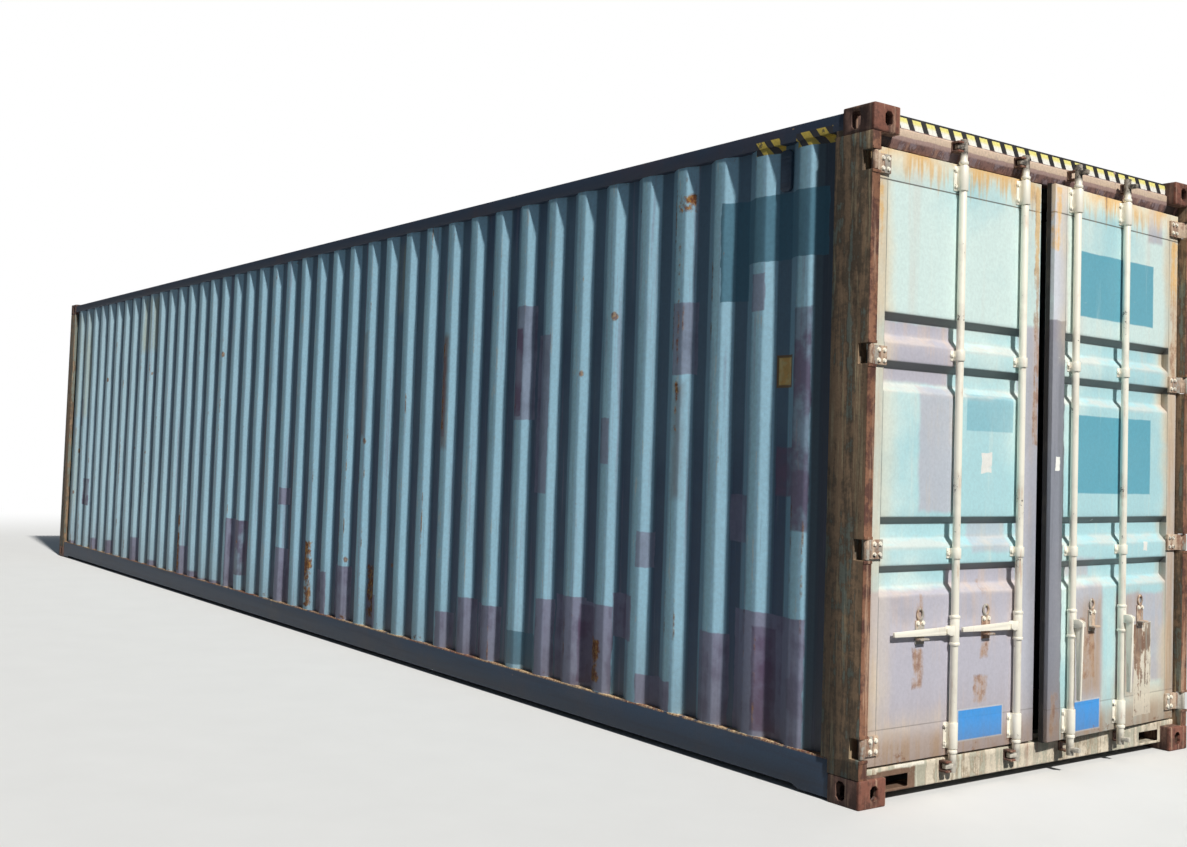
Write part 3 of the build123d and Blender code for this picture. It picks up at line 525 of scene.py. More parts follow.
def hazard_coat(
    book: Book, colour: Any, along: Signal, up: Signal, patches: Sequence[Patch],
    blotch: Signal,
) -> bpy.types.NodeSocket:
    """Lay chipped yellow and black slanting stripes over a wall's colour.

    Args:
        book: The material being built.
        colour: The colour underneath.
        along: Distance along the wall.
        up: Height.
        patches: Where the stripes are.
        blotch: The noise that chips them.

    Returns:
        The striped colour.
    """
    band = patch_mask(book, along, up, patches, 0.002)
    lean = ((along + up * 0.8) / 0.094).part()
    bars = book.mix(paint(46, 46, 52), paint(232, 204, 96), book.rise(lean, 0.42, 0.46))
    chips = book.rise(blotch, 0.60, 0.64)
    return book.mix(colour, bars, band * (1 - chips * 0.8))


@dataclass(frozen=True)
class WallPaint:
    """Faded teal wall paint with primer repairs, rust and grime, and painted shade and highlights
    on its waves.
    """

    name: str
    base: Colour = paint(150, 191, 209)
    deep: Colour = paint(112, 163, 188)
    pale: Colour = paint(188, 214, 216)
    primer: Colour = paint(152, 150, 176)
    maroon: Colour = paint(104, 82, 112)
    repaint: Colour = paint(58, 116, 140)
    # Painted shade: the navy laid in the troughs and on the shadowed feet of the slopes.
    painted_shade: Colour = paint(42, 68, 102)
    trough_edge: tuple[float, float] = (0.046, 0.030)
    # Where the shadowed feet of the lamp-facing slopes are painted with shade.
    slope_foot_shadow: tuple[float, float] = (0.086, 0.100)
    # Where the post's shadow is painted on the wall's last strip.
    post_shade: tuple[float, float] = (5.742, 5.768)
    pitch: float = 0.278
    crest: float = 0.036
    centred: bool = False
    # How pale the far end of the wall is made; when set, the painted shade, shadow and highlights
    # of the lamp's side are laid too.
    painted_light_and_fade: float = 0.0
    repairs: tuple[Patch, ...] = ()
    dark_repairs: tuple[Patch, ...] = ()
    repaints: tuple[Patch, ...] = ()
    stickers: tuple[Patch, ...] = ()
    rusts: tuple[Patch, ...] = ()
    soft_runs: tuple[Patch, ...] = ()
    pale_runs: tuple[Patch, ...] = ()
    hazards: tuple[Patch, ...] = ()
    foot: float = 0.178
    head: float = 2.806

    def build(self, across: int = 0) -> bpy.types.Material:
        """Make the material.

        Args:
            across: The axis that the waves follow, 0 for X and 1 for Y.

        Returns:
            The material.
        """
        book = Book(self.name)
        axes = book.axes()
        along, up = axes[across], axes[2]
        fine = book.noise(60.0, detail=3.0)
        blotch = book.noise(11.0, detail=6.0, rough=0.7)
        streak = book.streaks(22.0, 0.8, detail=5.0, rough=0.65)
        wave = along / self.pitch + (0.5 if self.centred else 0.0)
        lean = (wave.part() - 0.5) * self.pitch
        off = abs(lean)
        colour = self._coat(book, streak, along, lean)
        wobble = (book.noise(9.0, detail=3.0) - 0.5) * 0.03
        edge_along, edge_up = along + wobble, up + wobble
        colour, skirt = self._mended(book, colour, edge_along, edge_up, wave.floor())
        if self.repaints:
            blue = patch_mask(book, edge_along, edge_up, self.repaints, 0.003)
            colour = book.mix(colour, self.repaint, blue * 0.78)
        rust = self._rust(book, edge_along, edge_up, off, blotch)
        tint = book.mix(RUST, OCHRE, book.rise(fine, 0.4, 0.7))
        tint = book.mix(tint, RUST_DARK, book.rise(blotch, 0.55, 0.75))
        colour = book.mix(colour, tint, rust)
        grime = book.rise(up + (streak - 0.5) * 0.5, self.foot + 0.45, self.foot - 0.1)
        colour = book.mix(colour, DIRT, grime * 0.34)
        if self.stickers:
            rim = patch_mask(book, along, up, self.stickers, 0.002)
            inner = grown(self.stickers, -0.012)
            colour = book.mix(colour, paint(120, 92, 54), rim)
            worn = book.rise(blotch, 0.45, 0.6)
            plain = book.mix(paint(255, 222, 146), paint(250, 196, 110), worn)
            colour = book.mix(colour, plain, patch_mask(book, along, up, inner, 0.003))
        if self.hazards:
            colour = hazard_coat(book, colour, along, up, self.hazards, blotch)
        colour = book.mix(colour, inside_coat(book, streak, blotch), book.inner())
        colour = book.shade(colour, fine, 0.10)
        rough = 0.52 + rust * 0.35 + (fine - 0.5) * 0.2 + skirt * 0.12
        normal = book.bump((fine, 0.0005), (blotch, 0.0015))
        return book.finish(colour, rough, 0.0, normal)

    def _coat(
        self, book: Book, streak: Signal, along: Signal, lean: Signal
    ) -> bpy.types.NodeSocket:
        """The faded coat with painted light: shaded troughs and slope feet, lightened crests and
        lamp-facing slopes, the post's shadow, and a paler far end.

        Args:
            book: The material's nodes.
            streak: Noise drawn out upwards.
            along: Place along the surface.
            lean: Signed distance from the middle of the wave.

        Returns:
            The coat's colour.
        """
        off = abs(lean)
        fade = book.noise(0.55, detail=5.0)
        colour = book.mix(self.base, self.deep, book.rise(fade, 0.40, 0.70) * 0.5)
        colour = book.mix(colour, self.pale, book.rise(streak, 0.54, 0.80) * 0.5)
        long_runs = book.streaks(40.0, 1.4, detail=4.0, rough=0.6)
        middle = self.pitch / 2
        outer, inner = self.trough_edge
        # Painted shade: the troughs are darkened with navy, standing in for the shadow the crests
        # cast into them.
        trough = book.rise(off, middle - outer, middle - inner)
        trough_shade = trough * (0.66 + book.rise(fade, 0.42, 0.62) * 0.26)
        colour = book.mix(colour, self.painted_shade, trough_shade)
        scuffs = book.streaks(26.0, 5.0, detail=5.0, rough=0.7)
        # Painted highlight: the crests' outer flats are made paler for the light they catch; the
        # scuffs on them below are wear.
        crest = book.rise(off, self.crest + 0.006, self.crest)
        colour = book.mix(colour, paint(188, 240, 255), crest * 0.60)
        if self.painted_light_and_fade:
            # Painted shadow on the foot of each slope that faces the lamp.
            foot = book.rise(lean, *self.slope_foot_shadow)
            colour = book.mix(colour, self.painted_shade, foot * (1 - trough) * 0.8)
            # Painted shadow of the post on the wall's last strip.
            beside = book.rise(along, *self.post_shade)
            colour = book.mix(colour, paint(22, 30, 50), beside * 0.8)
            # Painted highlight on the slopes that face the lamp, off their shadowed feet and the
            # post's shadow.
            painted_highlight = book.rise(lean, 0.002, 0.024) * (1 - foot) * (1 - beside)
            colour = book.mix(colour, paint(184, 232, 254), painted_highlight * 0.85)
            # Paler towards the blind end, off the troughs.
            far = book.rise(along, 1.5, -5.0) * (1 - trough)
            colour = book.mix(colour, paint(222, 248, 255), far * self.painted_light_and_fade)
        scuffed = crest * book.rise(scuffs, 0.58, 0.66) * 0.55
        colour = book.mix(colour, paint(214, 222, 218), scuffed)
        colour = book.mix(colour, paint(92, 108, 116), book.rise(long_runs, 0.60, 0.72) * 0.25)
        faded = book.streaks(19.0, 0.7, detail=5.0, rough=0.65)
        return book.mix(colour, paint(150, 142, 168), book.rise(faded, 0.56, 0.70) * 0.45)

    def _mended(
        self, book: Book, colour: Any, along: Signal, up: Signal, wave: Signal
    ) -> tuple[bpy.types.NodeSocket, Signal]:
        """Primer repairs: measured ones near the doors, a ragged skirt elsewhere.

        Args:
            book: The material's nodes.
            colour: The colour so far.
            along: Place along the surface.
            up: Height.
            wave: The wave's number.

        Returns:
            The colour with the repairs, and their mask.
        """
        dice = book.signal(
            "ShaderNodeTexWhiteNoise", {"noise_dimensions": "1D"}, {"W": wave}
        )
        reach = (dice ** 5.0) * 0.42 + self.foot
        skirt = book.rise(up - reach, 0.012, -0.012) * book.rise(dice, 0.45, 0.5)
        if self.repairs:
            skirt = skirt * book.rise(along, 0.0, -0.2)
            skirt = skirt.most(patch_mask(book, along, up, self.repairs, 0.004))
        old = book.noise(7.0, detail=4.0)
        upright = book.streaks(18.0, 1.0, detail=4.0)
        primer = book.mix(self.primer, self.maroon, book.rise(old + upright, 0.94, 1.24) * 0.7)
        colour = book.mix(colour, primer, skirt * 0.9)
        if self.pale_runs:
            pale = patch_mask(book, along, up, self.pale_runs, 0.05)
            pale = pale * (0.10 + book.rise(upright, 0.42, 0.62) * 0.5)
            colour = book.mix(colour, paint(206, 206, 172), pale)
        if self.soft_runs:
            soft = patch_mask(book, along, up, self.soft_runs, 0.030)
            soft = soft * (0.5 + book.rise(upright, 0.40, 0.60) * 0.5)
            colour = book.mix(colour, paint(116, 80, 72), soft * 0.8)
        if self.dark_repairs:
            dark = patch_mask(book, along, up, self.dark_repairs, 0.006)
            colour = book.mix(colour, self.maroon, dark * (0.55 + book.rise(old, 0.4, 0.6) * 0.35))
        return colour, skirt

    def _rust(
        self, book: Book, along: Signal, up: Signal, off: Signal, blotch: Signal
    ) -> Signal:
        """Rust along the foot and head, on bends, in measured places and in spots.

        Args:
            book: The material's nodes.
            along: Place along the surface.
            up: Height.
            off: Distance from the middle of the wave.
            blotch: Blotchy noise.

        Returns:
            How rusty it is, 0 to 1.
        """
        foot = book.rise(up, self.foot + 0.10, self.foot)
        head = book.rise(up, self.head - 0.10, self.head)
        drips = book.streaks(34.0, 2.2, detail=4.0, rough=0.6)
        rust = book.rise(blotch + foot * 0.15 + head * 0.12, 0.72, 0.82)
        rust = rust.most(book.rise(drips + head * 0.12 + foot * 0.1, 0.76, 0.86) * 0.8)
        bend = book.rise(abs(off - self.crest), 0.009, 0.002)
        worn = book.streaks(3.6, 1.3, detail=5.0, rough=0.62)
        rust = rust.most(bend * book.rise(worn + (blotch - 0.5) * 0.5, 0.60, 0.70) * 0.8)
        spots = book.signal(
            "ShaderNodeTexVoronoi", {"feature": "F1"},
            {"Vector": book.position, "Scale": 2.6}, "Distance",
        )
        rust = rust.most(book.rise(spots + (blotch - 0.5) * 0.16, 0.070, 0.040) * 0.8)
        if self.rusts:
            place = patch_mask(book, along, up, self.rusts, 0.045)
            rust = rust.most(book.rise(place * (blotch + 0.12), 0.50, 0.66))
        return rust


@dataclass(frozen=True)
class DoorPaint:
    """A door leaf's pale teal paint, its repairs, runs of rust and plain labels."""

    name: str
    base: Colour = paint(220, 241, 237)
    deep: Colour = paint(180, 222, 228)
    primer: Colour = paint(192, 188, 200)
    warm: Colour = paint(206, 190, 186)
    stain: Colour = paint(178, 148, 120)
    blue: Colour = paint(6, 160, 246)
    field: Colour = paint(88, 168, 190)
    repairs: tuple[Patch, ...] = ()
    grey_repairs: tuple[Patch, ...] = ()
    fields: tuple[Patch, ...] = ()
    labels: tuple[Patch, ...] = ()
    blotches: tuple[Patch, ...] = ()
    stains: tuple[Patch, ...] = ()
    creams: tuple[Patch, ...] = ()
    stripped: tuple[Patch, ...] = ()
    strips: tuple[Patch, ...] = ()
    whites: tuple[Patch, ...] = ()
    swages: tuple[float, ...] = SWAGES
    seams: tuple[float, ...] = (0.110, 1.075)
    ajar: float = 0.0
    hinge: Point = HINGE_AXIS
    low: float = 0.153
    high: float = 2.73
    sheet_low: float = 0.300
    sheet_high: float = 2.597

    def build(self) -> bpy.types.Material:
        """Make the material in the closed leaf's own coordinates.

        Returns:
            The material.
        """
        book = Book(self.name)
        place = book.turned(-self.ajar, self.hinge) if self.ajar else book.position
        _, along, up = book.axes(place)
        streak = book.streaks(16.0, 0.9, place, detail=5.0, rough=0.65)
        fine = book.noise(70.0, place, detail=3.0)
        blotch = book.noise(13.0, place, detail=6.0, rough=0.72)
        drips = book.streaks(30.0, 2.0, place, detail=4.0, rough=0.6)
        wobble = (book.noise(8.0, place, detail=3.0) - 0.5) * 0.035
        edge_along, edge_up = along + wobble, up + wobble
        colour = self._coat(book, place, up, streak)
        colour = self._mended(book, place, colour, edge_along, edge_up, streak)
        colour = self._pressing(book, place, colour, along, up)
        colour = self._labels(book, colour, along, up, edge_along, edge_up, blotch)
        rust = self._rust(book, place, along, up, edge_along, edge_up, blotch, drips)
        thick = book.rise(blotch * 0.4 + drips * 0.6, 0.56, 0.70)
        runny = book.mix(paint(222, 178, 110), paint(150, 104, 62), thick)
        dark = book.rise(blotch, 0.46, 0.66)
        spotty = book.mix(paint(186, 150, 118), paint(142, 100, 74), dark)
        tint = book.mix(spotty, runny, book.rise(up, 2.20, 2.42))
        tint = book.mix(tint, RUST_DARK, book.rise(blotch, 0.70, 0.82))
        colour = book.mix(colour, tint, rust)
        if self.stripped:
            bare = patch_mask(book, edge_along, edge_up, self.stripped, 0.012)
            torn = bare * (drips * 0.6 + blotch * 0.4 + 0.45)
            colour = book.mix(colour, paint(236, 228, 208), book.rise(torn, 0.76, 0.84) * 0.9)
            brown = book.mix(paint(164, 132, 106), paint(128, 96, 76), book.rise(blotch, 0.4, 0.6))
            brown = book.mix(brown, paint(158, 160, 150), book.rise(streak, 0.48, 0.60) * 0.8)
            colour = book.mix(colour, brown, book.rise(torn + (up - 0.45) * 0.25, 0.94, 0.97))
        scratch = book.noise(1.0, place, stretch=(4.0, 9.0, 40.0), detail=2.0)
        colour = book.mix(colour, paint(240, 242, 236), book.rise(scratch, 0.76, 0.80) * 0.5)
        grime = book.rise(up + (streak - 0.5) * 0.4, self.low + 0.40, self.low - 0.1)
        colour = book.mix(colour, paint(150, 124, 104), grime * 0.42)
        colour = book.mix(colour, inside_coat(book, streak, blotch), book.inner())
        colour = book.shade(colour, fine, 0.07)
        rough = 0.45 + rust * 0.4 + (fine - 0.5) * 0.2
        normal = book.bump((fine, 0.0004), (blotch, 0.0010))
        return book.finish(colour, rough, 0.0, normal)

    def _coat(
        self, book: Book, place: Any, up: Signal, streak: Signal
    ) -> bpy.types.NodeSocket:
        """The faded coat, palest in the top panel and washed along its runs.

        Args:
            book: The material's nodes.
            place: Coordinates on the closed leaf.
            up: Height.
            streak: Noise drawn out upwards.

        Returns:
            The coat's colour.
        """
        fade = book.noise(1.3, place, detail=5.0)
        lower = book.rise(up, 2.06, 1.98)
        colour = book.mix(self.base, self.deep, book.rise(fade + lower * 0.16, 0.46, 0.70))
        colour = book.mix(colour, paint(232, 240, 230), book.rise(streak, 0.54, 0.80) * 0.55)
        smear = book.streaks(7.0, 0.6, place, detail=4.0)
        return book.mix(colour, paint(222, 214, 204), book.rise(smear, 0.56, 0.76) * 0.4)

    def _mended(
        self, book: Book, place: Any, colour: Any, along: Signal, up: Signal, streak: Signal
    ) -> bpy.types.NodeSocket:
        """Plain fields, then lavender primer with warmer and greyer runs in it.

        Args:
            book: The material's nodes.
            place: Coordinates on the closed leaf.
            colour: The colour so far.
            along: Place along the surface.
            up: Height.
            streak: Noise drawn out upwards.

        Returns:
            The colour with this over it.
        """
        if self.fields:
            tidy = (book.noise(8.0, place, detail=3.0) - 0.5) * 0.028
            field_mask = patch_mask(book, along - tidy, up - tidy, self.fields, 0.004)
            thin = book.rise(streak, 0.62, 0.74) * 0.35
            colour = book.mix(colour, self.field, field_mask * (0.9 - thin))
        broad = book.noise(2.4, place, detail=5.0)
        primer = book.mix(self.primer, self.warm, book.rise(streak + (broad - 0.5), 0.42, 0.72))
        primer = book.mix(primer, paint(168, 170, 188), book.rise(broad, 0.50, 0.66) * 0.6)
        mask = patch_mask(book, along, up, self.repairs, 0.014)
        colour = book.mix(colour, primer, mask * (0.96 - book.rise(broad, 0.62, 0.72) * 0.25))
        if self.grey_repairs:
            grey = book.mix(paint(132, 130, 142), paint(104, 100, 108), book.rise(streak, 0.4, 0.7))
            mask = patch_mask(book, along, up, self.grey_repairs, 0.004)
            colour = book.mix(colour, grey, mask * 0.92)
        if self.creams:
            soft = (broad - 0.5) * 0.16
            cream = patch_mask(book, along + soft, up + soft, self.creams, 0.05)
            cream = cream * (0.40 + book.rise(broad + (streak - 0.5) * 0.4, 0.40, 0.62) * 0.4)
            colour = book.mix(colour, paint(238, 220, 188), cream)
        if self.stains:
            stain = patch_mask(book, along, up, self.stains, 0.05)
            stain = stain * (0.35 + book.rise(streak, 0.40, 0.66) * 0.5)
            colour = book.mix(colour, self.stain, stain)
        return colour

    def _labels(
        self, book: Book, colour: Any, along: Signal, up: Signal,
        edge_along: Signal, edge_up: Signal, blotch: Signal,
    ) -> bpy.types.NodeSocket:
        """Plain blue labels and small white scraps.

        Args:
            book: The material's nodes.
            colour: The colour so far.
            along: Place along the surface.
            up: Height.
            edge_along: Place along the surface with a wobble.
            edge_up: Height with a wobble.
            blotch: Blotchy noise.

        Returns:
            The colour with this over it.
        """
        if self.labels:
            label = patch_mask(book, along, up, self.labels, 0.002)
            scuffed = book.rise(blotch, 0.68, 0.74)
            rim = patch_mask(book, along, up, grown(self.labels, 0.006), 0.002)
            colour = book.mix(colour, paint(214, 222, 226), rim * 0.7)
            colour = book.mix(colour, self.blue, label * (1 - scuffed * 0.3))
        if self.whites:
            white = patch_mask(book, edge_along, edge_up, self.whites, 0.010)
            white = book.rise(white * (blotch + 0.3), 0.62, 0.72)
            colour = book.mix(colour, paint(240, 240, 234), white)
        return colour

    def _pressing(
        self, book: Book, place: Any, colour: Any, along: Signal, up: Signal
    ) -> bpy.types.NodeSocket:
        """Painted shadow under each pressed step, a pale rub below it that is partly wear and
        partly painted highlight, and the sheet's dark seams.

        Args:
            book: The material's nodes.
            place: Coordinates on the closed leaf.
            colour: The colour so far.
            along: Place along the surface.
            up: Height.

        Returns:
            The colour with this over it.
        """
        across = abs(along)
        span = (self.seams[0] + self.seams[1]) / 2
        inside = book.rise(abs(across - span), span - self.seams[0] + 0.004, span - self.seams[0])
        haze = book.streaks(5.0, 22.0, place, detail=4.0)
        for top in self.swages:
            # Painted shadow on the downward-facing lip under each pressed step.
            under = book.between(up, top - 0.033, top - 0.001, 0.003) * inside
            colour = book.mix(colour, paint(52, 60, 64), under * 0.86)
            # A pale rub on each upward-facing ramp, partly wear and dust and partly painted
            # highlight.
            rub_and_highlight = book.between(up, top - 0.136, top - 0.086, 0.014) * inside
            rub_and_highlight = rub_and_highlight * book.rise(haze, 0.36, 0.62)
            colour = book.mix(colour, paint(228, 212, 200), rub_and_highlight * 0.5)
        line = book.rise(abs(up - self.sheet_high), 0.0045, 0.0015)
        line = line.most(book.rise(abs(up - self.sheet_low), 0.004, 0.0015) * 0.4)
        for seam in self.seams:
            line = line.most(book.rise(abs(across - seam), 0.004, 0.0015) * 0.45)
        return book.mix(colour, paint(84, 80, 76), line * 0.85)

    def _rust(
        self, book: Book, place: Any, along: Signal, up: Signal, edge_along: Signal,
        edge_up: Signal, blotch: Signal, drips: Signal,
    ) -> Signal:
        """Rust that runs from the top edge, edges the leaf and sits in measured marks.

        Args:
            book: The material's nodes.
            place: Coordinates on the closed leaf.
            along: Place along the surface.
            up: Height.
            edge_along: Place along the surface with a wobble.
            edge_up: Height with a wobble.
            blotch: Blotchy noise.
            drips: Finer noise drawn out upwards.

        Returns:
            How rusty it is, 0 to 1.
        """
        head = book.rise(up, self.high - 0.22, self.high - 0.01)
        foot = book.rise(up, self.low + 0.14, self.low)
        edge = book.rise(abs(along), 1.10, 1.15)
        rust = book.rise(blotch + foot * 0.18 + head * 0.06 + edge * 0.10, 0.73, 0.85)
        groups = book.rise(book.noise(3.4, place, detail=3.0), 0.38, 0.56)
        runs = book.rise(drips + head * 0.26, 0.62, 0.80) * head * (0.35 + groups * 0.65)
        rust = rust.most(runs * 0.9)
        brim = book.rise(up, self.high - 0.050, self.high - 0.004)
        rust = rust.most(brim * (0.35 + groups * 0.5))
        if self.strips:
            edges = patch_mask(book, edge_along, edge_up, self.strips, 0.02)
            rust = rust.most(book.rise(edges * (drips + blotch), 0.82, 1.10) * 0.8)
        if self.blotches:
            marks = patch_mask(book, edge_along, edge_up, self.blotches, 0.03)
            rust = rust.most(book.rise(marks * (blotch + drips * 0.6), 0.62, 0.92) * 0.85)
        return rust


@dataclass(frozen=True)
class RustedSteel:
    """Frame steel that has lost most of its paint, with runs down it."""

    name: str
    rust: Colour = paint(150, 124, 98)
    dark: Colour = paint(98, 84, 68)
    light: Colour = paint(204, 188, 152)
    remnant: Colour = paint(128, 146, 138)
    face: Optional[Colour] = None
    face_from: float = 6.086
    cover: float = 0.45
    marks: tuple[tuple[Patch, Colour], ...] = ()
    hazard: Optional[Patch] = None
    roughness: float = 0.72

    def build(self) -> bpy.types.Material:
        """Make the material; the face colour shows on what looks the doors' way.

        Returns:
            The material.
        """
        book = Book(self.name)
        x, along, up = book.axes()
        broad = book.noise(2.2, detail=6.0, rough=0.62)
        blotch = book.noise(14.0, detail=7.0, rough=0.7)
        runs = book.streaks(30.0, 1.5, detail=6.0, rough=0.68)
        other = book.streaks(17.0, 1.1, detail=6.0, rough=0.66)
        fine = book.noise(90.0, detail=3.0)
        colour = book.mix(self.rust, self.dark, book.rise(blotch * 0.35 + other * 0.65, 0.45, 0.53))
        colour = book.mix(colour, self.light, book.rise(runs, 0.54, 0.64) * 0.6)
        left = other + (blotch - 0.5) * 0.5 + (broad - 0.5) * 0.4
        kept = book.rise(left, 0.62 - self.cover * 0.14, 0.67 - self.cover * 0.14)
        colour = book.mix(colour, self.remnant, kept * 0.5)
        orange = book.rise(broad * 0.4 + runs * 0.6, 0.57, 0.66) * 0.6
        colour = book.mix(colour, paint(150, 84, 50), orange)
        if self.face is not None:
            shown = book.rise(x, self.face_from, self.face_from + 0.004)
            near = book.mix(self.face, paint(88, 54, 44), book.rise(blotch, 0.44, 0.60))
            near = book.mix(near, paint(206, 172, 146), book.rise(runs, 0.52, 0.66) * 0.7)
            colour = book.mix(colour, near, shown)
        for patch, shade in self.marks:
            wobble = (blotch - 0.5) * 0.016
            mask = patch_mask(book, along + wobble, up + wobble, (patch,), 0.004)
            mask = mask * (0.92 - book.rise(blotch, 0.56, 0.70) * 0.5)
            colour = book.mix(colour, shade, mask)
        if self.hazard:
            colour = self._stripes(book, colour, along, up, blotch)
        colour = book.shade(colour, fine, 0.16)
        rough = self.roughness + (blotch - 0.5) * 0.25
        normal = book.bump((fine, 0.0005), (blotch, 0.0018))
        return book.finish(colour, rough, 0.0, normal)

    def _stripes(
        self, book: Book, colour: Any, along: Signal, up: Signal, blotch: Signal
    ) -> bpy.types.NodeSocket:
        """Pale and black slanting stripes, yellow at the top and white below.

        Args:
            book: The material's nodes.
            colour: The colour so far.
            along: Place along the surface.
            up: Height.
            blotch: Blotchy noise.

        Returns:
            The colour with this over it.
        """
        patch = patch_mask(book, along, up, (self.hazard,), 0.002)
        lean = ((along + up * 0.52) / 0.091).part()
        pale = book.mix(paint(244, 242, 232), paint(240, 230, 140), book.rise(up, 2.850, 2.868))
        shown = book.rise(lean, 0.35, 0.39) * book.rise(lean, 0.995, 0.965)
        shown = shown * book.rise(up, 2.880, 2.878)
        bars = book.mix(paint(30, 29, 30), pale, shown)
        chips = book.rise(blotch, 0.64, 0.68)
        return book.mix(colour, bars, patch * (1 - chips * 0.85))


@dataclass(frozen=True)
class GearPaint:
    """Cream paint over galvanised lock gear, chipped, stained and rusty at its ends."""

    name: str
    base: Colour = paint(255, 250, 234)
    grey: Colour = paint(224, 218, 204)
    stain: Colour = paint(206, 164, 134)
    wear: float = 0.5
    ends: tuple[float, float] = (0.140, 2.765)

    def build(self) -> bpy.types.Material:
        """Make the material.

        Returns:
            The material.
        """
        book = Book(self.name)
        _, _, up = book.axes()
        broad = book.noise(6.0, detail=5.0, rough=0.6)
        blotch = book.noise(38.0, detail=6.0, rough=0.72)
        runs = book.streaks(60.0, 5.0, detail=4.0, rough=0.6)
        colour = book.mix(self.base, self.grey, book.rise(broad, 0.46, 0.70) * 0.6)
        stain = book.rise(runs + (broad - 0.5) * 0.5, 0.58, 0.78) * 0.6
        colour = book.mix(colour, self.stain, stain)
        chips = blotch + (broad - 0.5) * 0.7
        rust = book.rise(chips, 0.76 - self.wear * 0.16, 0.84 - self.wear * 0.14)
        low, high = self.ends
        top = book.rise(up, high - 0.015, high + 0.015) * 0.95
        bottom = book.rise(up, low + 0.015, low - 0.015) * 0.5
        bare = top.most(bottom) * (0.7 + book.rise(blotch, 0.4, 0.6) * 0.3)
        rust = rust.most(bare)
        tint = book.mix(paint(92, 68, 54), paint(42, 34, 32), book.rise(blotch, 0.40, 0.58))
        colour = book.mix(colour, tint, rust)
        rough = 0.42 + rust * 0.4 + stain * 0.2
        normal = book.bump((blotch, 0.0008))
        return book.finish(colour, rough, 0.05, normal)


@dataclass(frozen=True)
class RailPaint:
    """The dark coating of the rails and the underframe."""

    name: str
    base: Colour = paint(78, 96, 120)
    worn: Colour = paint(112, 104, 102)
    edge: Optional[float] = None
    hazards: tuple[Patch, ...] = ()

    def build(self) -> bpy.types.Material:
        """Make the material; the edge height carries a line of rust.

        Returns:
            The material.
        """
        book = Book(self.name)
        along, _, up = book.axes()
        broad = book.noise(1.6, detail=6.0, rough=0.62)
        blotch = book.noise(18.0, detail=6.0, rough=0.7)
        smear = book.noise(1.0, stretch=(1.2, 8.0, 26.0), detail=5.0, rough=0.6)
        fine = book.noise(80.0, detail=3.0)
        colour = book.mix(self.base, self.worn, book.rise(broad, 0.48, 0.72) * 0.7)
        colour = book.mix(colour, paint(52, 60, 76), book.rise(smear, 0.50, 0.66) * 0.5)
        rust = book.rise(blotch + (broad - 0.5) * 0.3, 0.68, 0.80) * 0.7
        if self.edge is not None:
            line = book.rise(abs(up - self.edge), 0.009, 0.002)
            rust = rust.most(line * book.rise(blotch, 0.36, 0.52) * 0.9)
        pale = book.rise(fine + (broad - 0.5), 0.4, 0.65)
        tint = book.mix(paint(150, 100, 74), paint(226, 196, 150), pale)
        colour = book.mix(colour, tint, rust)
        if self.hazards:
            colour = hazard_coat(book, colour, along, up, self.hazards, blotch)
        colour = book.shade(colour, fine, 0.15)
        rough = 0.55 + rust * 0.3 + (fine - 0.5) * 0.2
        return book.finish(colour, rough, 0.0, book.bump((fine, 0.0004), (blotch, 0.0012)))


@dataclass(frozen=True)
class SealRubber:
    """Weathered black door seal."""

    name: str = "door seal rubber"

    def build(self) -> bpy.types.Material:
        """Make the material.

        Returns:
            The material.
        """
        book = Book(self.name)
        dust = book.noise(9.0, detail=5.0, rough=0.6)
        fine = book.noise(120.0, detail=2.0)
        colour = book.mix(paint(20, 20, 22), paint(58, 54, 50), book.rise(dust, 0.5, 0.75) * 0.6)
        rough = 0.62 + (fine - 0.5) * 0.2
        return book.finish(colour, rough, 0.0, book.bump((fine, 0.0003)))


@dataclass(frozen=True)
class FloorBoards:
    """Brown plywood in long boards, scuffed by cargo."""

    name: str = "floor plywood"
    board: tuple[float, float] = (2.4, 1.22)
    corner: tuple[float, float] = (6.1, 1.22)

    def build(self) -> bpy.types.Material:
        """Make the material.

        Returns:
            The material.
        """
        book = Book(self.name)
        x, y, _ = book.axes()
        grain = book.noise(1.0, stretch=(3.0, 46.0, 46.0), detail=6.0, rough=0.6)
        scuff = book.noise(3.0, detail=6.0, rough=0.7)
        (length, width), (ahead, beside) = self.board, self.corner
        board = ((x + ahead) / length).floor() * 7.0 + ((y + beside) / width).floor()
        tone = book.signal(
            "ShaderNodeTexWhiteNoise", {"noise_dimensions": "1D"}, {"W": board}
        )
        colour = book.mix(paint(112, 76, 46), paint(146, 104, 66), book.rise(grain, 0.35, 0.7))
        colour = book.mix(colour, paint(96, 70, 50), tone * 0.5)
        colour = book.mix(colour, paint(164, 142, 116), book.rise(scuff, 0.6, 0.8) * 0.5)
        seam = book.rise(abs((x / length).part() - 0.5), 0.4975, 0.4995)
        colour = book.mix(colour, paint(36, 28, 22), seam)
        return book.finish(colour, 0.6 + (scuff - 0.5) * 0.3, 0.0, book.bump((grain, 0.0006)))


